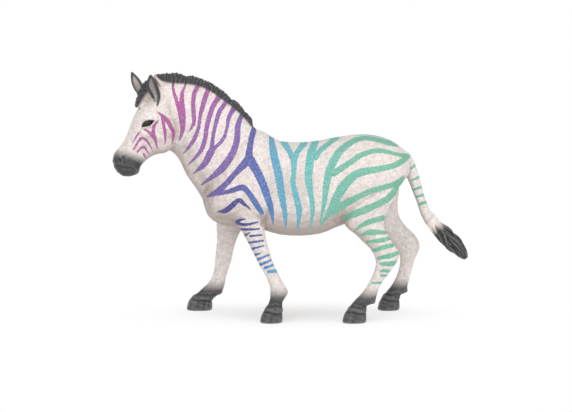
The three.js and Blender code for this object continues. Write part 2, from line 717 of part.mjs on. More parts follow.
function headAndNeck() {
  const seat = neckSeamMiddle.clone().addScaledVector(neckBack, -NECK_PEG_LENGTH);
  const pin = peg(seat, neckBack, NECK_PEG_DIAMETER, 2 * NECK_PEG_LENGTH);
  let solid = skin.intersect(sideOf(neckSeamMiddle, neckSeamNormal)).add(pin);
  for (const side of [-1, 1]) solid = solid.subtract(eyeball(side, SEAM_GAP)).subtract(nostril(side));
  return solid.subtract(mouth());
}

function torso() {
  const seam = neckSeamMiddle.clone().addScaledVector(neckBack, SEAM_GAP);
  const bore = NECK_PEG_DIAMETER + 2 * SEAM_GAP;
  let solid = skin;
  for (const leg of Object.values(legs)) solid = solid.add(legLoft(leg));
  solid = solid.add(tailStub());
  solid = solid.intersect(sideOf(seam, neckBack)).intersect(sideOf(new THREE.Vector3(0, 0, LEG_LENGTH), UP));
  solid = solid.subtract(peg(neckSeamMiddle, neckBack, bore, NECK_PEG_LENGTH + SEAM_GAP));
  for (const leg of Object.values(legs)) solid = solid.subtract(legSocket(leg));
  const dock = tailMiddle(dockSeamShare).addScaledVector(tailWay(dockSeamShare), SEAM_GAP);
  const up = tailWay(dockSeamShare).negate();
  return solid.subtract(peg(dock, up, TAIL_PEG_DIAMETER + 2 * SEAM_GAP, TAIL_PEG_LENGTH + 2 * SEAM_GAP));
}

function tail() {
  const way = tailWay(dockSeamShare);
  const root = SEAM_GAP + TAIL_PEG_DIAMETER / 4;
  const inside = tailMiddle(dockSeamShare).addScaledVector(way, root);
  const pin = peg(inside, way.clone().negate(), TAIL_PEG_DIAMETER, root + TAIL_PEG_LENGTH);
  let solid = tailLoft().subtract(clearSkin);
  for (const leg of Object.values(legs)) solid = solid.subtract(legLoft(leg, SEAM_GAP));
  return solid.add(pin);
}

const hairPart = headPoint(hairPartShare, 0);
const behindPart = headAxis.clone().negate();
const ears = { left: -1, right: 1 };

function clearOfEars(solid) {
  return Object.entries(ears).reduce((left, [name, side]) => left.subtract(earSolid(name, side, SEAM_GAP)), solid);
}

function mane() {
  return clearOfEars(maneLoft().subtract(clearSkin).intersect(sideOf(hairPart, behindPart)));
}

function forelock() {
  const start = hairPart.clone().addScaledVector(headAxis, SEAM_GAP);
  return clearOfEars(forelockLoft().subtract(clearSkin).intersect(sideOf(start, headAxis)));
}

// The assembly
const figure = new THREE.Group();

function addPiece(name, solid, material) {
  const { vertProperties, triVerts } = solid.getMesh();
  const geometry = new THREE.BufferGeometry();
  geometry.setAttribute('position', new THREE.BufferAttribute(vertProperties, 3));
  geometry.setIndex(new THREE.BufferAttribute(triVerts, 1));
  geometry.computeVertexNormals();
  const piece = new THREE.Mesh(geometry, material);
  piece.name = name;
  figure.add(piece);
}

addPiece('torso', torso(), hidePaint);
addPiece('head_and_neck', headAndNeck(), hidePaint);
addPiece('mane', mane(), hairPaint);
addPiece('forelock', forelock(), hairPaint);
for (const [name, side] of Object.entries(ears)) {
  addPiece(`ear_${name}`, earSolid(name, side).subtract(clearSkin), hidePaint);
  addPiece(`eye_${name}`, eyeball(side), eyePaint);
}
for (const [name, leg] of Object.entries(legs)) {
  addPiece(`${name}_leg`, lowerLeg(leg), hidePaint);
  addPiece(`${name}_hoof`, hoof(leg), hoofPaint);
}
addPiece('tail', tail(), hidePaint);
addPiece('tail_tuft', tuftLoft(), hairPaint);

// The origin is under the middle of the figure's box
const box = new THREE.Box3().setFromObject(figure);
figure.position.set(-(box.min.x + box.max.x) / 2, -(box.min.y + box.max.y) / 2, 0);

export default figure;
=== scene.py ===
import json
import math

import bpy
import numpy as np
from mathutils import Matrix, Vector

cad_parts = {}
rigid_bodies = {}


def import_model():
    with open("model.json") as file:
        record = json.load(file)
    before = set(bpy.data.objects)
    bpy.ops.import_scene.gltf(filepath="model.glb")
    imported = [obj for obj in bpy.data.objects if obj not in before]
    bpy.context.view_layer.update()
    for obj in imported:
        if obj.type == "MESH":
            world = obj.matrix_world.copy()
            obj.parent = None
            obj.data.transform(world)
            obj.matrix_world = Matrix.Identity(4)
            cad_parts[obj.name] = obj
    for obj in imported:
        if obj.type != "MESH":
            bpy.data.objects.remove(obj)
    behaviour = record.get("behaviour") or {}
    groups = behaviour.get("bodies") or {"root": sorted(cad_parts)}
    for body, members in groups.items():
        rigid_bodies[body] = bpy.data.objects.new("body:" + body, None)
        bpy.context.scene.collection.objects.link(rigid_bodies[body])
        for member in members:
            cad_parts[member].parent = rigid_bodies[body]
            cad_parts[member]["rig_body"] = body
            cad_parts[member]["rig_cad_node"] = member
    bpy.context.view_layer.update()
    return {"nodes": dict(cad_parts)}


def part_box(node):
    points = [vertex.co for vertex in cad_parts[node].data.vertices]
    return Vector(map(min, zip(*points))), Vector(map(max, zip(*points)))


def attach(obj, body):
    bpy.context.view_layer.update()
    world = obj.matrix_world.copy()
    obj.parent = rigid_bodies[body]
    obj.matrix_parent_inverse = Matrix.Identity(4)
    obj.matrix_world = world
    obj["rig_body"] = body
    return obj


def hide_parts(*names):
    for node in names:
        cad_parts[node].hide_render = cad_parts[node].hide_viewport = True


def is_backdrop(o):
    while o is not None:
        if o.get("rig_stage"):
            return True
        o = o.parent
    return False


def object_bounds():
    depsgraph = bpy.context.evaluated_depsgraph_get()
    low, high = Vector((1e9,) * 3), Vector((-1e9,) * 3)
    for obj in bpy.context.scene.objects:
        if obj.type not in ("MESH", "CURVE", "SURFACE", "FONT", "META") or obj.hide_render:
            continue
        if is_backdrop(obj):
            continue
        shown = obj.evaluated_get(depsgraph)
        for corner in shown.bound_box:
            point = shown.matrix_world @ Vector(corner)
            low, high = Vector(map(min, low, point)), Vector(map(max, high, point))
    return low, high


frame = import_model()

bpy.ops.object.select_all(action="DESELECT")

# Skin of trunk, neck, head, legs and tail: rigid PVC mouldings, bonded with filled, invisible
# joints. It is modelled as one clay from copies of the CAD solids, sculpted all over, and cut
# again along the CAD's seams, then airbrushed piece by piece.
MM = 1000  # millimetres in a metre
VOXEL = 0.000325
SWELL = 0.0002  # closes the CAD's seams, and is taken off again
MERGE_GAP = 0.000001
skin_nodes = ["torso", "head_and_neck", "tail", "tail_tuft", "eye_left", "eye_right"]
leg_names = ["front_left", "front_right", "hind_left", "hind_right"]
for leg in leg_names:
    skin_nodes += [leg + "_leg", leg + "_hoof"]


def select_only(piece):
    bpy.ops.object.select_all(action="DESELECT")
    piece.select_set(True)
    bpy.context.view_layer.objects.active = piece


def edit(operator, whole=True, **settings):
    """Runs an edit-mode operator on the whole active piece, or on what is selected of it."""
    bpy.ops.object.mode_set(mode="EDIT")
    if whole:
        bpy.ops.mesh.select_all(action="SELECT")
    operator(**settings)
    bpy.ops.object.mode_set(mode="OBJECT")


def merged_copy(name, nodes):
    """Copies of CAD nodes joined into one object, their loose triangles merged."""
    bpy.ops.object.select_all(action="DESELECT")
    for node in nodes:
        copy = frame["nodes"][node].copy()
        copy.data = copy.data.copy()
        copy.parent = None
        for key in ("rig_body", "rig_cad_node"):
            del copy[key]
        bpy.context.scene.collection.objects.link(copy)
        copy.select_set(True)
        bpy.context.view_layer.objects.active = copy
    bpy.ops.object.join()
    piece = bpy.context.view_layer.objects.active
    piece.name = piece.data.name = name
    piece.data.materials.clear()
    edit(bpy.ops.mesh.remove_doubles, threshold=MERGE_GAP)
    return piece


def finish_with(piece, kind, **settings):
    """Adds one modifier to a piece and applies it."""
    modifier = piece.modifiers.new(kind.lower(), kind)
    for key, value in settings.items():
        setattr(modifier, key, value)
    select_only(piece)
    bpy.ops.object.modifier_apply(modifier=modifier.name)


def numbers(items, key, width=1, kind=float):
    """A number, or a row of them, for each vertex, edge, corner or face of a mesh."""
    values = np.zeros(len(items) * width, kind)
    items.foreach_get(key, values)
    return values.reshape(-1, width) if width > 1 else values


def clay(piece):
    """Places of a piece's points, in millimetres, and their outward normals."""
    points = piece.data.vertices
    return numbers(points, "co", 3) * MM, numbers(points, "normal", 3)


def set_clay(piece, places):
    piece.data.vertices.foreach_set("co", (places / MM).ravel())
    piece.data.update()


def smoothed(piece, places, strengths):
    """Places drawn towards the middle of their neighbours, once for each strength."""
    a, b = numbers(piece.data.edges, "vertices", 2, int).T
    count = len(places)
    valence = np.bincount(a, minlength=count) + np.bincount(b, minlength=count)
    soft = places.copy()
    for strength in strengths:
        for axis in range(3):
            along = soft[:, axis]
            total = np.bincount(a, along[b], count) + np.bincount(b, along[a], count)
            soft[:, axis] = along + strength * (total / valence - along)
    return soft


def relax(piece, rounds, grip=0.53):
    """Smooths a piece's facets away without shrinking it."""
    places, _ = clay(piece)
    set_clay(piece, smoothed(piece, places, [0.5, -grip] * rounds))


def keep_number(piece, name, values):
    attribute = piece.data.attributes.new(name, "FLOAT", "POINT")
    attribute.data.foreach_set("value", values.astype(np.float32))


def keep_ridges(piece, rounds, height):
    """Keeps how far each point stands out of its surroundings, 0.5 being level."""
    places, normals = clay(piece)
    stands_out = ((places - smoothed(piece, places, [0.6] * rounds)) * normals).sum(1)
    keep_number(piece, "ridge", np.clip(0.5 + stands_out / (2 * height), 0, 1))


skin = merged_copy("skin", skin_nodes)
finish_with(skin, "DISPLACE", strength=SWELL, mid_level=0.0)
finish_with(skin, "REMESH", mode="VOXEL", voxel_size=VOXEL)
relax(skin, rounds=60, grip=0.52)
places, normals = clay(skin)
set_clay(skin, places - normals * SWELL * MM)

# Where a point of the left side shows in the photograph, seen from 12 degrees up: millimetres to
# a pixel, the photograph's width, and the pixel on which the CAD's origin lies
PIXEL = 0.341
PHOTO_WIDTH = 572
ORIGIN_U, ORIGIN_V = 290.9, 316
LOOK_DOWN = math.radians(12)


def photo_place(places):
    up = places[:, 2] * math.cos(LOOK_DOWN) + places[:, 1] * math.sin(LOOK_DOWN)
    return ORIGIN_U + places[:, 0] / PIXEL, ORIGIN_V - up / PIXEL


# The head is turned 20 degrees to the left at the end of a bent neck. The bend is given along
# the crest, and below CREST_HEIGHT a point takes it from further back.
HEAD_TURN = math.radians(20)
NECK_BEND = 5.0
POLL_X = -41.24
CREST_HEIGHT, CREST_LEAN = 80, 0.27
crest_x = [-41.2, -39.4, -36.0, -32.0, -28.0, -24.5, -20.0]
crest_bend = [-5.0, -4.44, -3.5, -2.3, -1.1, -0.33, 0.0]


def smooth_step(value, low, high):
    share = np.clip((value - low) / (high - low), 0, 1)
    return share * share * (3 - 2 * share)


def hump(distance, top, reach):
    """A soft hump, 1 high at its top's distance and fading out on both sides of it."""
    return np.exp(-(((distance - top) / reach) ** 2))


def off_middle(places):
    """How far a point lies off the figure's bent middle plane, and that plane's side way."""
    x, y, z = places.T
    leaned = x + CREST_LEAN * np.clip(CREST_HEIGHT - z, 0, 40)
    neck = np.interp(leaned, crest_x, crest_bend)
    head = -NECK_BEND + math.tan(HEAD_TURN) * (x - POLL_X)
    middle = neck + (head - neck) * smooth_step(-x, 38, 43)
    turn = HEAD_TURN * np.clip(-middle / NECK_BEND, 0, 1)
    aside = (y - middle) * np.cos(turn)
    return aside, np.stack([-np.sin(turn), np.cos(turn), 0 * turn], 1)


def on_left(places):
    """Points of the right side, carried over to the left side that the photograph shows."""
    aside, way = off_middle(places)
    return places - way * (2 * np.maximum(aside, 0))[:, None], aside


def smooth_line(points, steps=6):
    """A stroke through given points, each a place and a width, rounded between them."""
    row = np.array([(*point, 0)[:3] for point in points], float)
    row = np.vstack([2 * row[0] - row[1], row, 2 * row[-1] - row[-2]])
    made = []
    for a, b, c, d in zip(row, row[1:], row[2:], row[3:]):
        for t in np.arange(steps) / steps:
            bend = 2 * a - 5 * b + 4 * c - d + t * (3 * (b - c) + d - a)
            made.append(b + 0.5 * t * (c - a + t * bend))
    return np.array(made + [row[-2]])


def stroke_distance(u, v, line):
    """Distance in pixels from a stroke's edge, negative inside it, and the share along it."""
    gap = np.full(len(u), 99.0)
    share = np.zeros(len(u))
    low, high = line[:, :2].min(0) - 16, line[:, :2].max(0) + 16
    near = np.flatnonzero((u > low[0]) & (u < high[0]) & (v > low[1]) & (v < high[1]))
    x, y = u[near], v[near]
    nearest, along = gap[near], share[near]
    for i in range(len(line) - 1):
        (ax, ay, aw), (bx, by, bw) = line[i], line[i + 1]
        dx, dy = bx - ax, by - ay
        t = np.clip(((x - ax) * dx + (y - ay) * dy) / max(dx * dx + dy * dy, 1e-9), 0, 1)
        reach = np.hypot(x - ax - t * dx, y - ay - t * dy) - (aw + t * (bw - aw)) / 2
        closer = reach < nearest
        nearest[closer] = reach[closer]
        along[closer] = (i + t[closer]) / (len(line) - 1)
    gap[near], share[near] = nearest, along
    return gap, share


def outline_distance(u, v, corners):
    """Distance in pixels from a closed outline, negative inside it."""
    line = np.array([(*corner, 0) for corner in corners + corners[:1]], float)
    gap, _ = stroke_distance(u, v, line)
    inside = np.zeros(len(u), bool)
    for (ax, ay, _), (bx, by, _) in zip(line, line[1:]):
        crosses = (ay > v) != (by > v)
        inside ^= crosses & (u < (bx - ax) * (v - ay) / (by - ay + 1e-12) + ax)
    return np.where(inside, -gap, gap)


def select_faces(piece, chosen):
    """Selects faces and their corners, for the edit-mode operator that follows."""
    mesh = piece.data
    corners = numbers(mesh.loops, "vertex_index", kind=int)
    totals = numbers(mesh.polygons, "loop_total", kind=int)
    points = np.zeros(len(mesh.vertices), bool)
    points[corners[np.repeat(chosen, totals)]] = True
    mesh.vertices.foreach_set("select", points)
    mesh.polygons.foreach_set("select", chosen)
    bpy.context.tool_settings.mesh_select_mode = (False, False, True)


def face_middles(piece):
    return numbers(piece.data.polygons, "center", 3) * MM


# Finer clay round the eyes, nostrils and lips, where the sculpting is smallest. The head lies
# above HEAD_FLOOR millimetres, and its eyes, ears and forehead above FACE_FLOOR.
HEAD_FLOOR, FACE_FLOOR = 40, 60
eye_outline = [
    (143.4, 128.0), (144.4, 124.6), (147.0, 122.2), (150.6, 121.4),
    (155.2, 121.9), (153.4, 124.8), (150.8, 126.9), (147.0, 127.6),
]
NOSTRIL = (121.6, 160.6)
LIPS_CORNER = (136, 162)
middles = face_middles(skin)
seen, aside = on_left(middles)
u, v = photo_place(seen)
fine = np.hypot(u - NOSTRIL[0], v - NOSTRIL[1]) < 5.5
fine |= (u < LIPS_CORNER[0]) & (v > LIPS_CORNER[1])
fine &= middles[:, 2] > HEAD_FLOOR
fine |= (outline_distance(u, v, eye_outline) < 3.5) & (middles[:, 2] > FACE_FLOOR)
fine &= np.abs(aside) > 0.6
select_only(skin)
select_faces(skin, fine)
edit(bpy.ops.mesh.subdivide, whole=False, number_cuts=1, smoothness=0)

# Feet as the photograph shows them: toes drawn forwards, and the knob behind each fetlock, with
# its pixel, its reach in pixels, its height in millimetres and the fall of its way. A hollow
# lies below and ahead of each knob.
places, normals = clay(skin)
u, v = photo_place(places)
foot_middles = {
    "front_left": (-6.0, -9.5), "front_right": (-30.2, 9.5),
    "hind_left": (22.6, -9.5), "hind_right": (34.3, 9.5),
}
toe_reach = {"front_left": 0.15, "front_right": 1.3, "hind_left": 0.7, "hind_right": 0.1}
fetlock_knobs = {
    "front_left": (287.2, 291.6, 3.4, 0.3, -0.1),
    "front_right": (221.6, 294.8, 3.0, 0.85, -0.45),
    "hind_left": (373.4, 302.4, 2.8, 0.8, -0.5),
    "hind_right": (407.2, 291.8, 2.6, 0.7, -0.5),
}
PASTERN_STEP = (-5.5, 4.5)
sculpt = np.zeros(len(places))
near_foot = {}
for leg, (middle_x, middle_y) in foot_middles.items():
    ahead_or_behind = np.abs(places[:, 0] - middle_x)
    near = (ahead_or_behind < 11) & (places[:, 2] < 15) & (places[:, 1] * middle_y > 0)
    near_foot[leg] = near & (ahead_or_behind < 9)
    knob_u, knob_v, reach, height, fall = fetlock_knobs[leg]
    way = np.array([1, 0, fall]) / math.hypot(1, fall)
    behind = near * np.clip(normals @ way, 0, 1)
    sculpt += behind * height * hump(np.hypot(u - knob_u, v - knob_v), 0, reach)
    hollow = np.hypot(u - knob_u - PASTERN_STEP[0], v - knob_v - PASTERN_STEP[1])
    sculpt -= behind * 0.4 * height * hump(hollow, 0, 2.6)
    ahead = smooth_step(middle_x - places[:, 0], -2.0, 3.6) * (1 - smooth_step(places[:, 2], 2.6, 7.6))
    places[:, 0] -= near_foot[leg] * toe_reach[leg] * ahead

# Creases round each pastern, and the step and swelling of each coronet
for leg, (middle_x, _) in foot_middles.items():
    height = places[:, 2] + 0.1 * (places[:, 0] - middle_x)
    x, y, z = places.T
    lumps = np.sin(2.1 * x + 1.7 * y + 1.1 * z) * np.sin(1.3 * y - 2.3 * z + 0.6 * x)
    lumps = lumps + 0.6 * np.sin(4.3 * x - 2.9 * y + 3.1 * z) * np.sin(3.7 * y + 2.2 * z)
    crease = np.sin(height * 4.2 + 1.6 * np.sin(0.9 * y + 0.8 * x) + 0.8 * lumps)
    fold = 0.055 * crease * smooth_step(height, 4.1, 4.8) * smooth_step(-height, -8.4, -5.6)
    rim = height + 0.16 * np.sin(1.1 * x) * np.sin(0.9 * y)
    coronet = 0.17 * hump(rim, 4.3, 0.7) - 0.1 * hump(rim, 3.45, 0.32)
    wall = smooth_step(height, 0.2, 0.7) * smooth_step(-height, -3.3, -2.6)
    rough = 0.032 * lumps * smooth_step(height, 0.2, 0.7) * smooth_step(-height, -7.5, -5.0)
    ring = 0.014 * np.sin(height * 7.5 + lumps) * wall
    belly_of_wall = 0.1 * hump(height, 1.5, 1.1)
    sculpt += near_foot[leg] * (fold + coronet + ring + rough + belly_of_wall)

# Muscles, bones and folds: each stroke is a line in the photograph's frame, its reach in pixels
# and its height in millimetres, below zero for a hollow. All fade out above the legs.
seen, aside = on_left(places)
u, v = photo_place(seen)
_, side_way = off_middle(places)
facing = np.abs((normals * side_way).sum(1))
clay_strokes = [
    ([(142, 122.6), (146, 119.4), (151, 118.2), (156.4, 120)], 2.6, 0.3),
    ([(144, 130.4), (149, 130.6), (154, 128.4)], 2.0, -0.14),
    ([(140, 132), (147, 134.6), (155, 136), (162, 139)], 3.2, 0.26),
    ([(153, 145), (146, 150), (139, 153)], 3.2, -0.22),
    ([(166, 99), (171, 112), (177, 126), (178, 138)], 4.4, -0.5),
    ([(186, 150), (196, 172), (206, 190)], 4.6, -0.45),
    ([(262, 140), (256, 165), (246, 188), (234, 204)], 8.0, 0.6),
    ([(270, 150), (268, 175), (266, 200)], 6.0, -0.4),
    ([(232, 213), (245, 211), (258, 215)], 5.0, 0.45),
    ([(263, 225), (266, 219), (269, 208)], 3.0, -0.65),
    ([(220, 219), (232, 222), (240, 219)], 2.6, -0.35),
    ([(336, 224), (342, 216), (347, 203)], 5.0, -0.75),
    ([(352, 214), (366, 200), (380, 178)], 9.0, 0.5),
    ([(396, 196), (389, 206), (386, 222)], 4.0, -0.45),
    ([(206, 207), (208, 213)], 5.0, -0.5),
]
high_part = smooth_step(places[:, 2], 31, 35)
for points, reach, height in clay_strokes:
    gap, _ = stroke_distance(u, v, smooth_line(points))
    sculpt += height * hump(gap, 0, reach) * smooth_step(facing, 0.2, 0.7) * high_part

# The eye's opening and its lids, the nostril's ring and hollow, the mouth, and the full places of
# lips, jaw, nose and cheek. The nostril is a slit that runs down and a little back.
HEAD_END = 180
OFF_HEAD = 50  # pixels, past the reach of any stroke on the head
SLIT_WAY = (0.94, 0.34)
mouth_line = [(114, 165.6), (120, 166.6), (127, 168), (132.4, 168.6)]
full_places = [
    (122.5, 174, 3.4, 0.35), (139, 172.6, 4.6, 0.6), (131, 176, 4.0, 0.2), (115, 153, 3.6, 0.25),
    (166, 151.6, 6.5, 0.55),
]
on_head = (places[:, 2] > HEAD_FLOOR) & (u < HEAD_END)
eye_gap = outline_distance(u, v, eye_outline) + OFF_HEAD * ~on_head
sculpt -= 1.0 * smooth_step(-eye_gap, -0.1, 1.0)
sculpt += 0.24 * hump(eye_gap, 1.1, 0.9)
off_u, off_v = u - NOSTRIL[0], v - NOSTRIL[1]
slit_u = off_u * SLIT_WAY[0] - off_v * SLIT_WAY[1]
slit_v = off_u * SLIT_WAY[1] + off_v * SLIT_WAY[0]
nostril = np.hypot(slit_u / 0.95, slit_v / 1.4) + OFF_HEAD * ~on_head
upper = 0.7 + 0.5 * slit_u / (np.hypot(slit_u, slit_v) + 0.5)
sculpt += 0.22 * upper * hump(nostril, 2.2, 1.0) - 0.5 * hump(nostril, 0, 1.25)
lips, _ = stroke_distance(u, v, smooth_line(mouth_line))
off_tip = smooth_step(np.abs(aside), 0.5, 1.6)
mouth = 0.1 * hump(lips, 2.6, 1.3) - 0.24 * hump(np.maximum(lips, 0), 0, 0.75)
sculpt += mouth * on_head * off_tip
for full_u, full_v, reach, height in full_places:
    sculpt += height * hump(np.hypot(u - full_u, v - full_v), 0, reach) * on_head

# The soles are pressed flat on the ground
SOLE_DEPTH = 0.12
places = places + normals * sculpt[:, None]
places[places[:, 2] < SOLE_DEPTH, 2] = 0
set_clay(skin, places)
keep_ridges(skin, rounds=14, height=0.12)
_, normals = clay(skin)
whole_way = skin.data.attributes.new("whole_way", "FLOAT_VECTOR", "POINT")
whole_way.data.foreach_set("vector", normals.astype(np.float32).ravel())

# Cuts along the CAD's seams, each only near its own joint
NECK_SEAM = np.array([-22.24, 0, 53.58])
NECK_WAY = np.array([-0.9063, 0, 0.4226])
DOCK_SEAM = np.array([41.69, 0.13, 48.2])
DOCK_WAY = np.array([0.3435, 0.0301, -0.9387])
TUFT_SEAM = np.array([47.19, 0.76, 33.77])
TUFT_WAY = np.array([0.579, 0.043, -0.813])
TRUNK_FLOOR = 30
BELLY_HEIGHT = 27.15
BELLY_SEAM = np.array([0, 0, BELLY_HEIGHT])
UPWARD = np.array([0, 0, 1.0])
MIDDLE_X = 5  # between the front and the hind legs
hoof_seams = {
    "front_left": ((-6.03, -9.5, 3.55), -6),
    "front_right": ((-30.25, 9.5, 3.55), -10),
    "hind_left": ((22.55, -9.5, 3.55), -6),
    "hind_right": ((34.31, 9.5, 3.55), -7),
}


def by_tail(middles):
    high, thin = middles[:, 2] > 31, np.abs(middles[:, 1]) < 3
    return high & thin & (middles[:, 0] > 39.4) & (middles[:, 2] < 52)


def by_tuft(middles):
    return (middles[:, 0] > 43.5) & (np.abs(middles[:, 1] - 1) < 4.4) & (middles[:, 2] < 38)


def by_hoof(middles, place):
    apart = np.hypot(middles[:, 0] - place[0], middles[:, 1] - place[1])
    return (apart < 10) & (middles[:, 2] < 8)


def hoof_way(pitch):
    return np.array([-math.sin(math.radians(pitch)), 0, math.cos(math.radians(pitch))])


def cut(chosen, place, way):
    select_faces(skin, chosen)
    seam = tuple(np.array(place) / MM)
    edit(bpy.ops.mesh.bisect, whole=False, plane_co=seam, plane_no=tuple(way))


cut(face_middles(skin)[:, 2] > TRUNK_FLOOR, NECK_SEAM, NECK_WAY)
cut(face_middles(skin)[:, 2] < TRUNK_FLOOR, BELLY_SEAM, UPWARD)
cut(by_tail(face_middles(skin)), DOCK_SEAM, DOCK_WAY)
cut(by_tuft(face_middles(skin)), TUFT_SEAM, TUFT_WAY)
for place, pitch in hoof_seams.values():
    cut(by_hoof(face_middles(skin), place), place, hoof_way(pitch))

middles = face_middles(skin)
owner = np.full(len(middles), "torso", dtype="U20")
ahead_of_neck = (middles - NECK_SEAM) @ NECK_WAY > 0
owner[ahead_of_neck & (middles[:, 2] > TRUNK_FLOOR)] = "head_and_neck"
owner[by_tail(middles) & ((middles - DOCK_SEAM) @ DOCK_WAY > 0)] = "tail"
tuft_faces = by_tuft(middles) & ((middles - TUFT_SEAM) @ TUFT_WAY > 0)
for leg in leg_names:
    quarter = (middles[:, 2] < BELLY_HEIGHT) & ~tuft_faces
    quarter &= (middles[:, 0] < MIDDLE_X) == leg.startswith("front")
    quarter &= (middles[:, 1] < 0) == leg.endswith("left")
    owner[quarter] = leg + "_leg"
    place, pitch = hoof_seams[leg]
    under = (middles - np.array(place)) @ hoof_way(pitch) < 0
    owner[quarter & by_hoof(middles, place) & under] = leg + "_hoof"
owner[tuft_faces] = "tail_tuft"
SEAM_ANGLE = math.radians(62)
MOST_CORNERS = 8  # of any face but those that close a seam


def whole_skin_ways(piece):
    """The outward ways that a piece's points had before the skin was cut."""
    ways = numbers(piece.data.attributes["whole_way"].data, "vector", 3)
    return ways / np.maximum(np.linalg.norm(ways, axis=1), 1e-6)[:, None]


def block_of_skin(name):
    """One piece of the skin, closed at its seams."""
    piece = skin.copy()
    piece.data = skin.data.copy()
    piece.name = piece.data.name = name + "_skin"
    bpy.context.scene.collection.objects.link(piece)
    select_only(piece)
    select_faces(piece, owner != name)
    edit(bpy.ops.mesh.delete, whole=False, type="FACE")
    edit(bpy.ops.mesh.fill_holes, sides=0)
    return piece


def part_of_skin(name):
    """A finished piece of the skin, shaded as if the skin were still whole."""
    piece = block_of_skin(name)
    bpy.ops.object.shade_smooth_by_angle(angle=SEAM_ANGLE)
    mesh = piece.data
    corners = numbers(mesh.loops, "vertex_index", kind=int)
    totals = numbers(mesh.polygons, "loop_total", kind=int)
    flat = np.repeat(numbers(mesh.polygons, "normal", 3), totals, axis=0)
    on_seam = np.repeat(totals > MOST_CORNERS, totals)[:, None]
    mesh.normals_split_custom_set(np.where(on_seam, flat, whole_skin_ways(piece)[corners]).tolist())
    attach(piece, "root")
    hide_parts(name)
    return piece


# Painted stripes: middle lines and widths in the photograph's frame, and the paint at each end,
# numbered along the row of paints from magenta at the head to green at the rump, then the legs'
face_stripes = [
    ([(159, 113.4, 1.2), (163.5, 116.5, 3), (168.5, 122, 4.4), (172.4, 129, 4.2), (174.4, 134.5, 3.4),
      (173, 143.8, 1)], 0, 0),
    ([(163.4, 118, 3), (165.2, 128, 3.2), (166.4, 135.8, 2.8), (166.1, 144.4, 1)], 0, 0.2),
    ([(159.8, 121.6, 1.2), (155.4, 127.4, 3), (154.8, 133.5, 3.5), (156.4, 140.4, 3.3),
      (158.8, 149.6, 0.8)], 0, 0.3),
    ([(145.6, 130.4, 1.2), (150.6, 133.2, 2.5), (154.8, 138.6, 3)], 0, 0),
    ([(142.6, 131.8, 1), (138.4, 136.7, 2), (134.4, 143.8, 1)], 0, 0),
    ([(134.6, 150.9, 1.2), (139.2, 143.4, 2.2), (143.6, 139, 2.8), (148.6, 142.2, 2.3),
      (154.4, 152.6, 0.8)], 0, 0),
    ([(138.6, 153, 1.3), (142.8, 148.6, 2.2), (146.2, 148.4, 2.6), (150, 154.9, 1)], 0, 0),
    ([(145, 154.8, 2.2), (147.2, 158.7, 1.2)], 0, 0),
]
neck_stripes = [
    ([(174, 80, 2), (174.4, 91, 3), (177.3, 101.3, 3.4), (180.1, 110.5, 4.2), (182.5, 117, 5)], 0, 0),
    ([(188, 79, 2), (185.3, 88.7, 2.4), (183, 94.4, 3.6), (182.8, 106, 5.4), (182.8, 114, 7.4),
      (183.2, 121, 6.6), (183.6, 129, 4.8), (182, 136, 3), (179.4, 142.4, 0.8)], 0, 0.6),
    ([(201, 82, 4), (199.4, 85.6, 4.2), (195, 94.4, 4.4), (193.9, 106, 4.2), (194.5, 115, 4.4),
      (194.3, 124.3, 3.6), (189.5, 133.2, 0.8)], 0.2, 0.9),
    ([(211.6, 85, 4.4), (209.2, 89.6, 4.6), (206, 97.9, 5), (203.1, 108.2, 4.8), (200.8, 117.4, 3.4),
      (199.1, 128.9, 3.6), (193.3, 142.7, 4), (183.8, 154.5, 0.8)], 0.2, 1.3),
    ([(223, 92.5, 4.6), (220.3, 96.7, 5), (214, 106, 5), (210, 117.4, 4.8), (207.1, 128.9, 4.6),
      (205.4, 140.4, 4.6), (200.2, 153, 4), (187.9, 166, 0.8)], 0.4, 1.6),
    ([(229.6, 98.5, 3.6), (226.6, 102.5, 4.2), (219.7, 112.8, 4.5), (216.3, 124.3, 4), (214, 134.6, 3.6),
      (212.3, 147, 4.6)], 1.0, 1.7),
    ([(237.6, 104.5, 4.6), (234.7, 108.2, 5.4), (229.5, 117.4, 4.2), (227.2, 128.9, 3.3),
      (223.8, 139.2, 3.6), (214.6, 149.2, 4), (211.6, 152, 7), (204.8, 164.5, 6),
      (193.6, 174, 1)], 1.5, 1.8),
    ([(243.6, 112.4, 3.6), (241.4, 116.8, 4.4), (238.1, 126.6, 5.6), (237.5, 138, 6), (234.7, 149.6, 6.6),
      (227.8, 162.2, 7.2), (218.6, 172.5, 6.6), (201.4, 185.4, 1.2)], 2.0, 1.9),
]
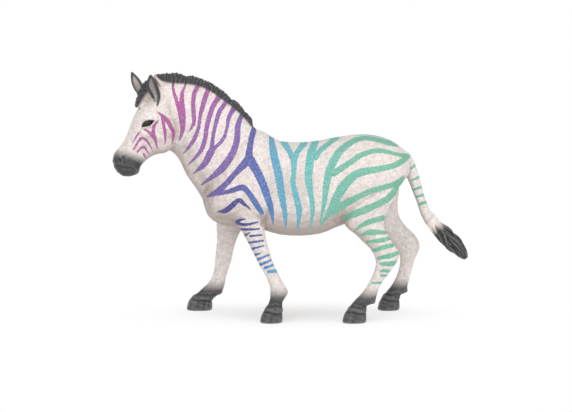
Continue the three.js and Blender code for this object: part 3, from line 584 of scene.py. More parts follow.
flank_stripes = [
    ([(254.2, 128.6, 4.6), (253.3, 132.4, 5.6), (251.3, 140.4, 5.8), (249.6, 151.8, 6.8),
      (248.8, 161, 9)], 2.8, 3.1),
    ([(248, 161, 9), (237, 172.5, 5.8), (226.6, 184, 5.8), (217, 192.6, 6.4),
      (207.6, 196.8, 2)], 3.0, 2.2),
    ([(219, 194, 4), (231.3, 191.2, 5), (242.4, 187.8, 6), (249.2, 193.6, 5.6), (256.6, 204.6, 6),
      (261.8, 213, 4.6)], 2.5, 3.9),
    ([(250.6, 160.6, 9), (260, 177.6, 8.2), (266.8, 195, 7.4), (271.5, 211, 5),
      (273.2, 224.4, 1)], 3.1, 4.4),
    ([(217.6, 211.8, 1), (225.4, 211, 5), (231.3, 206.8, 5.6), (239, 200.6, 4.8), (244, 204, 3.6),
      (251.2, 210, 0.8)], 9.0, 9.0),
    ([(271, 137.2, 4.4), (273.5, 153.5, 7.6), (278.2, 173.6, 8), (281.5, 193.7, 7), (284.9, 213.7, 5),
      (285.6, 228, 1)], 4.9, 5.2),
    ([(282.6, 139, 6), (284.2, 143.4, 6.5), (289.5, 152, 5.8), (293, 160, 5)], 6.6, 6.0),
    ([(306, 139.5, 6), (304.3, 143.4, 6), (297.6, 152, 5.4), (294.2, 160, 6.4), (293.6, 173.6, 5),
      (292.9, 184.3, 5.4), (296.2, 197.7, 6.2), (298.9, 211, 6), (297.4, 229.2, 1.2)], 7.0, 5.6),
    ([(316.6, 139, 6), (315, 142.8, 6.5), (311, 153.5, 8), (309, 166.9, 8.4), (308.3, 180.3, 7.2),
      (311, 197.7, 5.2), (312.3, 211, 4.4), (310.1, 228, 1.2)], 7.2, 6.8),
    ([(338, 137.5, 4), (331, 142, 4.6), (320.3, 150.8, 5.2), (315, 158, 6)], 7.6, 7.0),
    ([(398.4, 146, 1.6), (393, 144.6, 4.4), (387.3, 143.2, 5), (373.9, 139.6, 4.8), (360.5, 138.9, 4.8),
      (349.8, 143.4, 6), (340.4, 150.8, 7), (333.7, 160.2, 8), (328.4, 173.6, 8), (325.7, 187, 6.4),
      (323.7, 203, 4.8), (319.5, 226.4, 1.1)], 8.0, 7.3),
    ([(407.4, 156.6, 5), (396.7, 154.8, 3.8), (384.6, 152, 4.4), (373.9, 151.5, 4.8), (360.5, 155.5, 5.2),
      (349.8, 162.8, 5.8), (333.7, 173.6, 6.4)], 8.0, 7.8),
    ([(407.4, 156.8, 5), (399.3, 162.8, 6), (390, 166.9, 5.6), (373.9, 170.2, 6.6), (357.8, 173.6, 8),
      (347.1, 181.6, 9), (339.1, 192.3, 9.6), (332.4, 205.7, 7.6), (321.5, 225, 1.1)], 8.0, 7.5),
    ([(402.8, 177.4, 3), (394, 184.3, 5.6), (380.6, 188.3, 5.4), (367.2, 192.3, 5.6), (353.8, 199, 6.2),
      (339.1, 207, 7.4), (332.4, 212, 7)], 8.0, 7.8),
    ([(402.4, 178.4, 4), (395.6, 189.6, 6.4), (384.6, 200.3, 6.6), (371.2, 207, 6.8), (357.8, 212.4, 7.2),
      (345, 218, 5.6)], 8.0, 8.0),
]
hind_stripes = [
    ([(382.6, 218, 5.4), (371.2, 221, 5.6), (360.5, 225.8, 4.2), (353.4, 231.4, 1.2)], 8, 8),
    ([(384.6, 232.8, 3), (376, 232.2, 5.4), (368, 232.6, 5.4), (359.6, 235.2, 1.4)], 8, 8),
    ([(389, 238.2, 3.6), (380, 240.4, 4.6), (366, 241.8, 2.4)], 8, 8),
    ([(391.8, 245.2, 4), (382, 247.6, 4.6), (371.6, 250.8, 3.4)], 8, 8),
    ([(398.6, 252.4, 3.4), (390, 255.4, 5), (378.2, 258, 3.6)], 8, 8),
    ([(394.4, 263, 5.4), (387, 263.8, 4.6), (380, 264, 3)], 8, 8),
    ([(388.6, 271, 3.4), (380.4, 270.6, 2.8)], 8, 8),
    ([(386.8, 275.4, 2.8), (380.4, 275.4, 2.6)], 8, 8),
    ([(382.4, 282.6, 2.4), (372, 282.8, 2)], 8, 8),
]
fore_stripes = [
    ([(245.7, 218.7, 1.3), (240, 220.2, 2.8), (236.4, 222, 2.6), (240, 223.8, 3.2), (247, 224.6, 3),
      (258, 222, 1.6)], 9, 9.1),
    ([(241.6, 229.4, 2.6), (250.5, 229.4, 2.4), (259.6, 228.8, 1.6)], 9, 9.2),
    ([(244.6, 235.8, 2.6), (250, 232.6, 1.2)], 9.1, 9.1),
    ([(250.4, 236, 2.2), (261.6, 235, 1.8)], 9.2, 9.3),
    ([(248.4, 242.8, 2.3), (263, 240.6, 2)], 9.3, 9.5),
    ([(251.7, 249.2, 3.1), (257, 247.4, 2), (264, 245.8, 1.4)], 9.4, 9.7),
    ([(254.1, 255.2, 3.4), (260.6, 253, 1.3)], 9.5, 9.8),
    ([(256.8, 259.8, 2.8), (268.8, 254.8, 1.8)], 9.7, 10.1),
    ([(259.8, 264.9, 3.1), (270.6, 260.2, 2.2)], 9.9, 10.4),
    ([(265.1, 267.8, 2.7), (273.6, 264.5, 2.5)], 10.3, 10.7),
    ([(268.4, 271.6, 3.2), (276.4, 270.8, 3.5)], 10.8, 11),
]
tail_stripes = [
    ([(414.6, 165.2, 2.9), (407.6, 172, 1.4)], 8, 8),
    ([(418.4, 177.4, 2.7), (411.6, 180.5, 1.8)], 8, 8),
    ([(421, 186.9, 3.1), (412.4, 190.4, 2)], 8, 8),
    ([(423.6, 194.9, 3.1), (416.4, 197.1, 2.2)], 8, 8),
    ([(426.2, 202.3, 3.5), (419, 204.6, 2.6)], 8, 8),
]
stripe_paints = [
    "#a85593", "#935c9f", "#785c9f", "#53589e", "#4f7cb6", "#5a9fbd", "#66aebc", "#69b7b3",
    "#74b399", "#444185", "#4b79b4", "#4fa0c6",
]
LAST_PAINT = len(stripe_paints) - 1

# The right legs stand in another stride: how far their middles lie from the left legs' at each
# height, so that the stripes follow each leg
leg_heights = np.arange(3, 28, 2)


def leg_middles(name):
    places, _ = clay(frame["nodes"][name + "_leg"])
    bands = [places[np.abs(places[:, 2] - height) < 2.4, 0] for height in leg_heights]
    return np.array([(band.min() + band.max()) / 2 for band in bands])


stride_shift = {
    end: leg_middles(end + "_left") - leg_middles(end + "_right") for end in ("front", "hind")
}

# Heights in millimetres where each leg's dark airbrushing starts and where it is full
soot_heights = {
    "front_left": (14.0, 6.6), "front_right": (11.8, 5.2),
    "hind_left": (13.4, 6.8), "hind_right": (12.6, 6.2),
}

# Where the other dark paint ends, in the photograph's frame: below the mane, above the muzzle, at
# the near ear's foot, round the forelock and on the tail. Below the mane it lies between two
# pixel columns, and between LOW_MANE and SHOULDER it comes to reach further down.
hair_line = smooth_line([
    (154, 74.5), (157.5, 78), (160, 80.6), (163, 82.8), (168, 84.2), (175, 85), (192, 86.2),
    (209, 90.6), (222, 98.4), (233, 106.4), (243, 115.6), (252.6, 126.4),
])
muzzle_line = np.array([(122, 150), (128, 150), (134, 153), (140, 155), (145, 158.4), (153, 168)])
ear_foot_line = smooth_line([(159, 97, 2), (159.4, 103, 2), (158.6, 106.6, 0.8)])
brow_line = np.array([
    (154, 80), (151.6, 86), (147, 92), (143.3, 98), (140.2, 104), (138.6, 107), (133, 111),
])
HAIR_START, LOW_MANE, SHOULDER, HAIR_END = 150, 196, 226, 262
MUZZLE_END = 160
TAIL_DARK = (437, 225)

# Middles of the beige wash beside the eye and of the painted shade on the flank
BROW_WASH = (149, 97)
FLANK_SHADE_MIDDLE = (291, 186)

# Heights in millimetres: where the legs' stripes stop following the stride in full and where at
# all, the flank's lower edge, the two edges of the breast's painted shade, and what the mane's
# dark stays above
LEG_TOP, STRIDE_END = 27, 50
FLANK_FLOOR = 34
BREAST_LOW, BREAST_HIGH = 32, 60
HAIR_FLOOR = 50
INNER_LEG = 8.4  # how far the plain inner sides of the legs lie from the middle
NO_STRIPE = 9.0  # a distance in millimetres at which no stripe shows

# Pixel columns that bound each group of stripes, so that none shows on another part's pixels
FACE_END, NECK_END, FLANK_START, FORE_END = 190, 260, 195, 285
HIND_START, TAIL_START, DOCK_START = 340, 400, 404


def paint(piece):
    """Keeps where the stripes, the dark airbrushing, the beige wash and the painted shade lie on a piece.
    """
    places, normals = clay(piece)
    if "whole_way" in piece.data.attributes:
        normals = whole_skin_ways(piece)
    seen, aside = on_left(places)
    _, side_way = off_middle(places)
    outward = (normals * side_way).sum(1) * np.sign(aside)
    height = places[:, 2]
    for end, station in (("front", -10), ("hind", 30)):
        shift = np.interp(height, leg_heights, stride_shift[end])
        shift *= 1 - smooth_step(height, LEG_TOP, STRIDE_END)
        near = hump(places[:, 0] + shift * 0.5, station, 17) ** (height > LEG_TOP)
        mine = (aside > 0) & ((places[:, 0] < MIDDLE_X) == (end == "front")) & (height < STRIDE_END)
        mine &= "tail" not in piece.name
        seen[mine, 0] += (shift * near)[mine]
    u, v = photo_place(seen)
    edge = np.full(len(u), NO_STRIPE)
    hue = np.zeros(len(u))
    low = height < FLANK_FLOOR
    groups = [(face_stripes, u < FACE_END), (neck_stripes, u < NECK_END)]
    if "leg" in piece.name or "torso" in piece.name:
        groups += [(flank_stripes, u > FLANK_START), (fore_stripes, u < FORE_END)]
        groups += [(hind_stripes, u > HIND_START)]
    else:
        groups += [(flank_stripes, (u > FLANK_START) & ~low)]
    if "tail" in piece.name:
        groups = [(tail_stripes, u > TAIL_START)]
    if "torso" in piece.name:
        groups += [(tail_stripes, (u > DOCK_START) & (np.abs(places[:, 1]) < 3))]
    inward = 0 * u
    if piece.name.endswith("_skin") and "tail" not in piece.name:
        inward = 1.2 * smooth_step(-outward, 0.0, 0.35)
        inward += NO_STRIPE * (low & (np.abs(places[:, 1]) < INNER_LEG))
    for group, allowed in groups:
        for points, first, last in group:
            gap, share = stroke_distance(u, v, smooth_line(points))
            gap = gap * PIXEL + NO_STRIPE * ~allowed + inward
            closer = gap < edge
            edge[closer] = gap[closer]
            hue[closer] = first + (last - first) * share[closer]
    keep_number(piece, "stripe_edge", edge)
    keep_number(piece, "stripe_paint", hue / LAST_PAINT)

    crest = v - np.interp(u, hair_line[:, 0], hair_line[:, 1])
    crest = crest - 2.2 * smooth_step(u, LOW_MANE, SHOULDER)
    below_mane = (u > HAIR_START) & (u < HAIR_END) & (height > HAIR_FLOOR)
    soot = smooth_step(-crest, -2.2, 2.6) * below_mane
    on_face = height > FACE_FLOOR
    if "head" in piece.name:
        top = np.interp(u, muzzle_line[:, 0], muzzle_line[:, 1])
        soot = np.maximum(soot, smooth_step(v - top, -5.0, 13.0) * (u < MUZZLE_END))
        eye_gap = outline_distance(u, v, eye_outline)
        soot = np.maximum(soot, smooth_step(-eye_gap, -1.2, 0.2) * on_face)
        ear_gap, _ = stroke_distance(u, v, ear_foot_line)
        soot = np.maximum(soot, 0.9 * smooth_step(-ear_gap, -1.4, 0.3) * on_face)
    if "leg" in piece.name or "hoof" in piece.name:
        start, full = soot_heights[piece.name.rsplit("_", 2)[0]]
        soot = smooth_step(-height, -start, -full)
    if "tail" in piece.name:
        wavy = 1.4 * np.sin(1.9 * places[:, 0] + 2.6 * places[:, 1] + 1.1 * height)
        down_tail = 0.55 * (u - TAIL_DARK[0]) + 0.835 * (v - TAIL_DARK[1])
        soot = smooth_step(down_tail + wavy, -4.0, 11.0)
    if "forelock" in piece.name or "head" in piece.name:
        across, down = photo_place(places - side_way * aside[:, None])
        across = across - 3.6 * smooth_step(aside, -0.9, 0.9)
        inner = np.interp(down, brow_line[:, 1], brow_line[:, 0])
        brow = smooth_step(inner - across, -4.4, 2.2) * (down < brow_line[-1, 1])
        soot = np.maximum(soot, brow * on_face)
    keep_number(piece, "soot", soot)
    from_brow = np.hypot(u - BROW_WASH[0], (v - BROW_WASH[1]) / 1.2)
    wash = 0.6 * smooth_step(-from_brow, -12, -3) * on_face
    # Painted shade: darker where faces turn down low on the body, on the breast that faces forwards, and
    # in a patch on the flank
    under = smooth_step(-normals[:, 2], -0.15, 0.85) * smooth_step(height, 18, 30)
    under *= smooth_step(-places[:, 0], -34, -28)
    breast_shade = smooth_step(-normals[:, 0], 0.2, 0.9) * (height > BREAST_LOW) * (height < BREAST_HIGH)
    from_flank = np.hypot((u - FLANK_SHADE_MIDDLE[0]) / 1.5, v - FLANK_SHADE_MIDDLE[1])
    flank_shade = smooth_step(-from_flank, -26, -8) * (height > FLANK_FLOOR)
    for share, shade in ((0.76, under), (0.7, breast_shade), (0.27, flank_shade)):
        wash = np.maximum(wash, share * shade)
    keep_number(piece, "wash", wash)
    keep_number(piece, "leg_hair", smooth_step(-height, -38, -26))


def linear(colour):
    """An sRGB hex colour as the linear values that a shader takes."""
    channels = [int(colour[i : i + 2], 16) / 255 for i in (1, 3, 5)]
    return [c / 12.92 if c <= 0.04045 else ((c + 0.055) / 1.055) ** 2.4 for c in channels] + [1]


def blank_material(name):
    material = bpy.data.materials.new(name)
    material.use_nodes = True
    material.node_tree.nodes.clear()
    return material


def add_node(owner, kind, settings=None, links=None):
    """Adds a shader node with its settings and links. A source node means its first output."""
    node = owner.node_tree.nodes.new("ShaderNode" + kind)
    for key, value in (settings or {}).items():
        if isinstance(key, int) or key in node.inputs:
            node.inputs[key].default_value = value
        else:
            setattr(node, key, value)
    for key, source in (links or {}).items():
        socket = source.outputs[0] if isinstance(source, bpy.types.Node) else source
        owner.node_tree.links.new(socket, node.inputs[key])
    return node


def set_stops(ramp, stops):
    """Gives a colour ramp its stops, each a place and an sRGB colour."""
    for i, (place, colour) in enumerate(stops):
        stop = ramp.elements[i] if i < 2 else ramp.elements.new(1)
        stop.position, stop.color = place, linear(colour)


# Noise cells to a metre: hairs about 0.35 mm apart, drawn coarser than the mould's finest so that
# they show, and drawn out along the hair, and mottling about 1.4 mm across
HAIR_SCALE, MOTTLE_SCALE = 2900, 700
HAIR_STRETCH = 0.42
hair_lies = [((0, 0.25, 0), (HAIR_STRETCH, 1, 1)), ((0, 0, 0), (1, 1, HAIR_STRETCH))]
# Paints: the beige wash and painted shade; the crease colour, partly dirt and partly painted shade; the
# light edge colour, partly rubbed wear and partly painted highlight; and the darkest colour, painted
# shade in the creases of dark paint
WASH_AND_SHADE_PAINT, CREASE_DIRT_AND_SHADE, EDGE_RUB_AND_HIGHLIGHT, DEEP_DARK = "#9c8d83", "#95867c", "#94918f", "#1d1c1e"


def painted_pvc(name, dark_tones, relief_depth, rub_and_highlight, dark_satin):
    """Moulded PVC with short-hair relief, under its stripes, soft dark airbrushing, a beige wash and
    painted shade.
    """
    pvc = blank_material(name)
    spot = add_node(pvc, "TexCoord").outputs["Object"]
    kept = {}
    for number in ("stripe_edge", "stripe_paint", "soot", "wash", "leg_hair", "ridge"):
        kept[number] = add_node(pvc, "Attribute", {"attribute_name": number}).outputs["Fac"]

    # Hair that lies along the body, and on the legs along the leg
    hairs = []
    for turn, stretch in hair_lies:
        way = add_node(pvc, "Mapping", {"Rotation": turn, "Scale": stretch}, {"Vector": spot})
        hairs.append(add_node(pvc, "TexNoise", {"Scale": HAIR_SCALE, "Detail": 2}, {"Vector": way}))
    hair = add_node(
        pvc, "Mix", {"data_type": "FLOAT"}, {"Factor": kept["leg_hair"], 2: hairs[0], 3: hairs[1]}
    )
    patches = add_node(pvc, "TexNoise", {"Scale": MOTTLE_SCALE, "Detail": 3}, {"Vector": spot})

    # Pale hide: pinkish grey mottling, a beige wash and painted shade, creases darker as partly dirt
    # and partly painted shade, and darker where the hair relief is low
    mottle = add_node(pvc, "ValToRGB", links={"Fac": patches})
    set_stops(mottle.color_ramp, zip((0.32, 0.68), hide_tones))
    washed_and_shaded = add_node(
        pvc, "Mix", {"data_type": "RGBA", 7: linear(WASH_AND_SHADE_PAINT)}, {"Factor": kept["wash"], 6: mottle}
    )
    crease = add_node(
        pvc, "MapRange", {"From Min": 0.44, "From Max": 0.0, "To Max": 0.5}, {"Value": kept["ridge"]}
    )
    creased = add_node(
        pvc, "Mix", {"data_type": "RGBA", 7: linear(CREASE_DIRT_AND_SHADE)},
        {"Factor": crease, 6: washed_and_shaded.outputs[2]},
    )
    roots = add_node(
        pvc, "MapRange", {"From Min": 0.36, "From Max": 0.54, "To Min": 0.78, "To Max": 1.0},
        {"Value": hair},
    )
    multiply = {"data_type": "RGBA", "blend_type": "MULTIPLY", 0: 1.0}
    fur = add_node(pvc, "Mix", multiply, {6: creased.outputs[2], 7: roots})

    # Stripes: one row of paints from head to rump, with edges that follow the hair
    paints = add_node(pvc, "ValToRGB", links={"Fac": kept["stripe_paint"]})
    set_stops(paints.color_ramp, [(i / LAST_PAINT, tone) for i, tone in enumerate(stripe_paints)])
    bare_hair = add_node(
        pvc, "MapRange", {"From Min": 0.5, "From Max": 0.7, "To Max": 0.2}, {"Value": hair}
    )
    thin_paint = add_node(
        pvc, "Mix", {"data_type": "RGBA"}, {"Factor": bare_hair, 6: paints, 7: creased.outputs[2]}
    )
    stroke = add_node(pvc, "Mix", multiply, {6: thin_paint.outputs[2], 7: roots})
    wobble = add_node(
        pvc, "Math", {"operation": "MULTIPLY_ADD", 1: 0.3}, {0: hair, 2: kept["stripe_edge"]}
    )
    inside = add_node(
        pvc, "MapRange", {"interpolation_type": "SMOOTHSTEP", "From Min": 0.25, "From Max": 0.05},
        {"Value": wobble},
    )
    striped = add_node(
        pvc, "Mix", {"data_type": "RGBA"}, {"Factor": inside, 6: fur.outputs[2], 7: stroke.outputs[2]}
    )

    # Dark airbrushing that catches the hair first, and inside the ears painted shade in the same dark.
    # High edges are lighter, partly rubbed wear and partly painted highlight, and creases darkest,
    # partly dirt and partly painted shade
    dark = add_node(pvc, "ValToRGB", links={"Fac": hair})
    set_stops(dark.color_ramp, zip((0.34, 0.64), dark_tones))
    high_edge = add_node(
        pvc, "MapRange", {"From Min": 0.54, "From Max": 0.95, "To Max": rub_and_highlight}, {"Value": kept["ridge"]}
    )
    rubbed_and_highlit = add_node(
        pvc, "Mix", {"data_type": "RGBA", 7: linear(EDGE_RUB_AND_HIGHLIGHT)}, {"Factor": high_edge, 6: dark}
    )
    deep = add_node(
        pvc, "Mix", {"data_type": "RGBA", 7: linear(DEEP_DARK)}, {"Factor": crease, 6: rubbed_and_highlit.outputs[2]}
    )
    caught = add_node(pvc, "Math", {"operation": "MULTIPLY_ADD", 1: 0.7, 2: -0.35}, {0: hair})
    fade = add_node(pvc, "Math", {"operation": "MULTIPLY_ADD", 1: 1.3, 2: -0.12}, {0: kept["soot"]})
    clear = add_node(pvc, "MapRange", {"From Max": 0.12}, {"Value": kept["soot"]})
    speckled = add_node(pvc, "Math", {"operation": "ADD", "use_clamp": True}, {0: fade, 1: caught})
    dark_paint_and_shade_share = add_node(
        pvc, "Math", {"operation": "MULTIPLY", "use_clamp": True}, {0: speckled, 1: clear}
    )
    coat = add_node(
        pvc, "Mix", {"data_type": "RGBA"}, {"Factor": dark_paint_and_shade_share, 6: striped.outputs[2], 7: deep.outputs[2]}
    )
    relief = add_node(pvc, "Bump", {"Strength": 0.6, "Distance": relief_depth}, {"Height": hair})
    satin = add_node(pvc, "MapRange", {"To Min": 0.6, "To Max": dark_satin}, {"Value": dark_paint_and_shade_share})
    shader = add_node(
        pvc, "BsdfPrincipled", {"IOR": 1.5},
        {"Base Color": coat.outputs[2], "Roughness": satin, "Normal": relief},
    )
    add_node(pvc, "OutputMaterial", links={"Surface": shader})
    return pvc


# Satin PVC, moulded with fine short hair and airbrushed: the eye sees soft mottled grey-pink
# with flat stripes over the same relief, and dark muzzle and feet that fade in softly. Painted
# shade darkens its belly, breast, flank and creases, and the insides of the ears.
hide_tones = ("#d7ccc6", "#eae1de")
hide = painted_pvc(
    "airbrushed_pvc_hide", dark_tones=("#202022", "#403f41"), relief_depth=0.00026, rub_and_highlight=0.3,
    dark_satin=0.42,
)

for name in ["torso", "head_and_neck", "tail"] + [leg + "_leg" for leg in leg_names]:
    piece = part_of_skin(name)
    paint(piece)
    piece.data.materials.append(hide)

# Hooves: four moulded hooves with a raised coronet and faint growth rings, dark grey paint that is
# lighter along their edges, partly a satin rub and partly painted highlight. They carry on the
# skin's shape under each coronet.
horn = painted_pvc(
    "satin_painted_pvc_hoof", dark_tones=("#18181a", "#303032"), relief_depth=0.00008, rub_and_highlight=0.42,
    dark_satin=0.3,
)
for leg in leg_names:
    piece = part_of_skin(leg + "_hoof")
    paint(piece)
    piece.data.materials.append(horn)

# Mane: an upright brush of stiff hair, bonded along the crest. It is about a thousand short tapered
# locks in one moulding, painted dark grey, with the dark brushed down over the hide at its foot.
HAIR_VOXEL = 0.00014
chance = np.random.default_rng(11)
mane_rim = [
    (155.4, 76.4), (158, 75.4), (163, 74.8), (168, 74.0), (171, 74.4), (174, 73.4), (178, 73.2),
    (181, 74.4), (184, 75.6), (187, 77.0), (189.4, 76.2), (192, 76.0), (198, 77.8), (204, 79.8),
    (210, 82.6), (216, 86.0), (222, 90.0), (226.6, 93.6), (229.2, 97.0), (230.2, 99.8),
    (233, 99.6), (237, 101.6), (240.2, 104.8), (243, 108.6), (245, 112), (247, 113),
    (250.2, 116.4), (252.2, 120), (252.4, 124.6),
]
mane_foot = [
    (157.2, 80), (161, 84.4), (166, 87), (172, 88.4), (181, 89), (192, 90.6), (201, 93),
    (210, 96.4), (219, 101), (228, 106.4), (236, 112), (242, 117.4), (247.6, 123.0), (250.6, 127.4),
]


def on_middle(line, count):
    """Evenly spaced places along a line in the photograph's frame, on the bent middle plane."""
    line = np.array(line, float)
    along = np.concatenate([[0], np.cumsum(np.hypot(*np.diff(line, axis=0).T))])
    spots = np.linspace(0, along[-1], count)
    u, v = np.interp(spots, along, line[:, 0]), np.interp(spots, along, line[:, 1])
    x = (u - ORIGIN_U) * PIXEL
    y = 0 * x
    for _ in range(4):
        z = ((ORIGIN_V - v) * PIXEL - y * math.sin(LOOK_DOWN)) / math.cos(LOOK_DOWN)
        aside, way = off_middle(np.stack([x, y, z], 1))
        y = y - aside / way[:, 1]
    return np.stack([x, y, z], 1), way


LOCK_SIDES = 6
lock_turns = np.linspace(0, 2 * math.pi, LOCK_SIDES, endpoint=False)
OFF_LOCKS = [0.21, 0.93, 0.3]  # a way that no lock runs along


def moulded_hair(name, node, locks, core=None):
    """Tapered locks, around a core if there is one, as one moulding of paths and their radii."""
    points, faces = [], []
    for path, radii in locks:
        path = np.array(path)
        ahead = np.gradient(path, axis=0)
        ahead /= np.linalg.norm(ahead, axis=1)[:, None]
        first = np.cross(ahead, OFF_LOCKS)
        first /= np.linalg.norm(first, axis=1)[:, None]
        second = np.cross(ahead, first)
        start = len(points)
        for middle, a, b, radius in zip(path, first, second, radii):
            for turn in lock_turns:
                out = radius * (math.cos(turn) * a + math.sin(turn) * b)
                points.append(tuple((middle + out) / MM))
        for ring in range(len(path) - 1):
            low = start + ring * LOCK_SIDES
            for i in range(LOCK_SIDES):
                j = (i + 1) % LOCK_SIDES
                faces.append((low + i, low + j, low + LOCK_SIDES + j, low + LOCK_SIDES + i))
        last = start + (len(path) - 1) * LOCK_SIDES
        faces.append(tuple(start + i for i in reversed(range(LOCK_SIDES))))
        faces.append(tuple(last + i for i in range(LOCK_SIDES)))
    mesh = bpy.data.meshes.new(name)
    mesh.from_pydata(points, [], faces)
    piece = bpy.data.objects.new(name, mesh)
    bpy.context.scene.collection.objects.link(piece)
    select_only(piece)
    if core:
        core.select_set(True)
        bpy.ops.object.join()
    edit(bpy.ops.mesh.normals_make_consistent, inside=False)
    finish_with(piece, "REMESH", mode="VOXEL", voxel_size=HAIR_VOXEL)
    relax(piece, rounds=2)
    keep_ridges(piece, rounds=24, height=0.13)
    bpy.ops.object.shade_smooth()
    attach(piece, "root")
    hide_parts(node)
    paint(piece)
    piece.data.materials.append(dry_brushed_and_highlit_hair)


# Matt grey paint, dry-brushed: dark in the partings, partly paint and partly painted shade, and
# lighter along each lock's back, partly dry-brushing and partly painted highlight
dry_brushed_and_highlit_hair = painted_pvc(
    "dry_brushed_pvc_hair", dark_tones=("#1f1e20", "#353336"), relief_depth=0.00012, rub_and_highlight=0.42,
    dark_satin=0.48,
)
lock_radii = np.array([0.36, 0.36, 0.24, 0.09])


def standing_locks(
    rim_line, foot_line, stations, lanes, half_at,
    ragged, lean_reach, lean, side_drop, thin_sides, buried,
):
    """Locks that stand side by side from a foot line up to a rim, in lanes across the crest."""
    rim, side_ways = on_middle(rim_line, stations)
    foot, _ = on_middle(foot_line, stations)
    along = np.gradient(foot, axis=0)
    along /= np.linalg.norm(along, axis=1)[:, None]
    locks = []
    for i in range(stations):
        for lane in np.linspace(-1, 1, lanes):
            aside = half_at(i / (stations - 1)) * (lane + chance.uniform(-0.14, 0.14))
            height = 1 - side_drop * lane * lane + chance.uniform(-ragged, 0.35 * ragged)
            slant = chance.uniform(-lean_reach, lean_reach) + lean
            root = foot[i] + side_ways[i] * aside - buried * (rim[i] - foot[i])
            tip = foot[i] + (rim[i] - foot[i]) * height + side_ways[i] * aside * 0.5
            tip = tip + along[i] * slant
            middle = (root + tip) / 2 + side_ways[i] * aside * 0.2 - along[i] * 0.2
            radii = lock_radii * (1 - thin_sides * lane * lane)
            locks.append(([root, middle, tip - 0.22 * (tip - middle), tip], radii))
    return locks


def mane_half(share):
    """Half the mane's width, which grows behind the poll and shrinks over the withers."""
    return 1.75 * min(1, 0.45 + 4 * share) * (1 - 0.55 * max(0, share - 0.72) / 0.28)


mane_locks = standing_locks(
    mane_rim, mane_foot, stations=150, lanes=7, half_at=mane_half,
    ragged=0.08, lean_reach=0.4, lean=0.2, side_drop=0.3, thin_sides=0, buried=0.2,
)
moulded_hair("mane_brush", "mane", mane_locks)

# Forelock: a low, ragged brush of the same hair between the ears and down the forehead, moulded
# in one with the skull and faded to beige towards the eyes.
forelock_rim = [
    (151.6, 79), (148.6, 80.6), (145.6, 82.4), (143, 85), (141.2, 88), (139.6, 90.8),
    (138.6, 93.6), (139.4, 96.8), (137.4, 99.4), (137.2, 102.6), (136.2, 105.6), (138.2, 107.2),
]
forelock_foot = [
    (155, 85), (153, 88.6), (151, 92.2), (149, 95.6), (147, 98.8), (145, 101.8), (143, 104.4),
    (141.4, 106.6), (140.6, 107.8),
]


def forelock_half(share):
    """Half the forelock's width, which shrinks towards the eyes."""
    return 2.3 * (1 - 0.5 * share)


forelock_locks = standing_locks(
    forelock_rim, forelock_foot, stations=54, lanes=9, half_at=forelock_half,
    ragged=0.16, lean_reach=0.5, lean=0.2, side_drop=0.72, thin_sides=0.5, buried=0.8,
)
moulded_hair("forelock_brush", "forelock", forelock_locks)

# Tail tuft: long hair, moulded as a wound bunch of locks that swells below the tail and ends
# blunt. It is bonded on the end of the tail, and its core carries on the tail's own shape.
tail_spots = np.array([0.4, 0.5, 0.6, 0.7, 0.8, 0.9, 1.0])
tail_path = np.array([
    (44.2, 0.42, 40.6), (46.26, 0.68, 35.35), (49.62, 0.93, 30.63), (52.9, 1.11, 27.75),
    (56.01, 1.29, 24.35), (58.82, 1.48, 21.18), (60.02, 1.5, 19.69),
])
tuft_reach = np.array([1.4, 1.8, 2.45, 2.9, 2.75, 1.9, 0.45])
TUFT_FRONT = np.array([0.75, 0.0, 0.66])
tuft_side = np.cross([0.66, 0.05, -0.75], TUFT_FRONT)
NEXT_LOCK_TURN = 2.39996  # the golden angle, so that the locks spread evenly
tuft_lock_shape = np.array([0.25, 0.66, 0.86, 0.98, 1.0, 0.9, 0.7, 0.45, 0.14])
tuft_lock_sunk = np.array([0.45, 0.2, 0.05, 0, 0, 0, 0, 0, 0])
tuft_locks = []

# Coarse locks and fine ones: their count, radius, where along the tail the first starts and over
# how much of it the others follow, and how far they wave
lock_kinds = [(18, 0.95, 0.5, 0.42, 0.4), (36, 0.45, 0.47, 0.48, 0.26)]
for count, thick, first_begin, spread, wave in lock_kinds:
    for i in range(count):
        begin = first_begin + spread * (i / count) ** 1.3 + chance.uniform(-0.01, 0.01)
        end = min(1.0, begin + chance.uniform(0.24, 0.36))
        shares = np.linspace(begin, end, len(tuft_lock_shape))
        middle = np.stack([np.interp(shares, tail_spots, tail_path[:, k]) for k in range(3)], 1)
        phase = chance.uniform(0, 6.28)
        wind = i * NEXT_LOCK_TURN + 4.2 * (shares - begin) + wave * np.sin(20 * shares + phase)
        radii = thick * tuft_lock_shape
        reach = np.interp(shares, tail_spots, tuft_reach) * chance.uniform(0.82, 1.07)
        out = reach - radii - tuft_lock_sunk + wave * np.sin(17 * shares + 2 * phase)
        across = np.cos(wind)[:, None] * TUFT_FRONT + 0.74 * np.sin(wind)[:, None] * tuft_side
        tuft_locks.append((middle + np.maximum(out, 0.1)[:, None] * across, radii))
core = block_of_skin("tail_tuft")
places, normals = clay(core)
down_tail = (places - TUFT_SEAM) @ TUFT_WAY
set_clay(core, places - normals * (1.0 * smooth_step(down_tail, 0.3, 5.0))[:, None])
bpy.data.objects.remove(skin)
moulded_hair("tail_tuft_locks", "tail_tuft", tuft_locks, core)

# Ears: two leaf-shaped cups, moulded thin, pale outside and grey inside, the grey deepened by
# painted shade, with dark painted rims and tips. Each is bonded to the poll, and its foot runs
# down into the skin.
EAR_VOXEL = 0.00012
HEAD_SIDE = np.array([-0.342, 0.9397, 0])
ear_facing = {"left": (-0.469, -0.883, 0), "right": (-0.719, -0.695, 0)}
ear_nudge = {"left": 0.85, "right": 0.3}
ear_inward = {"left": 1.7, "right": -1.7}

# How dark each cup's inside is painted, as painted shade that differs between the near and the far
# ear: all over, more towards one edge, and low in its hollow
ear_inner_shade = {"left": 0.46, "right": 0.02}
ear_shade = {"left": 0.42, "right": 0.3}
ear_hollow_shade = {"left": 0.85, "right": 0}

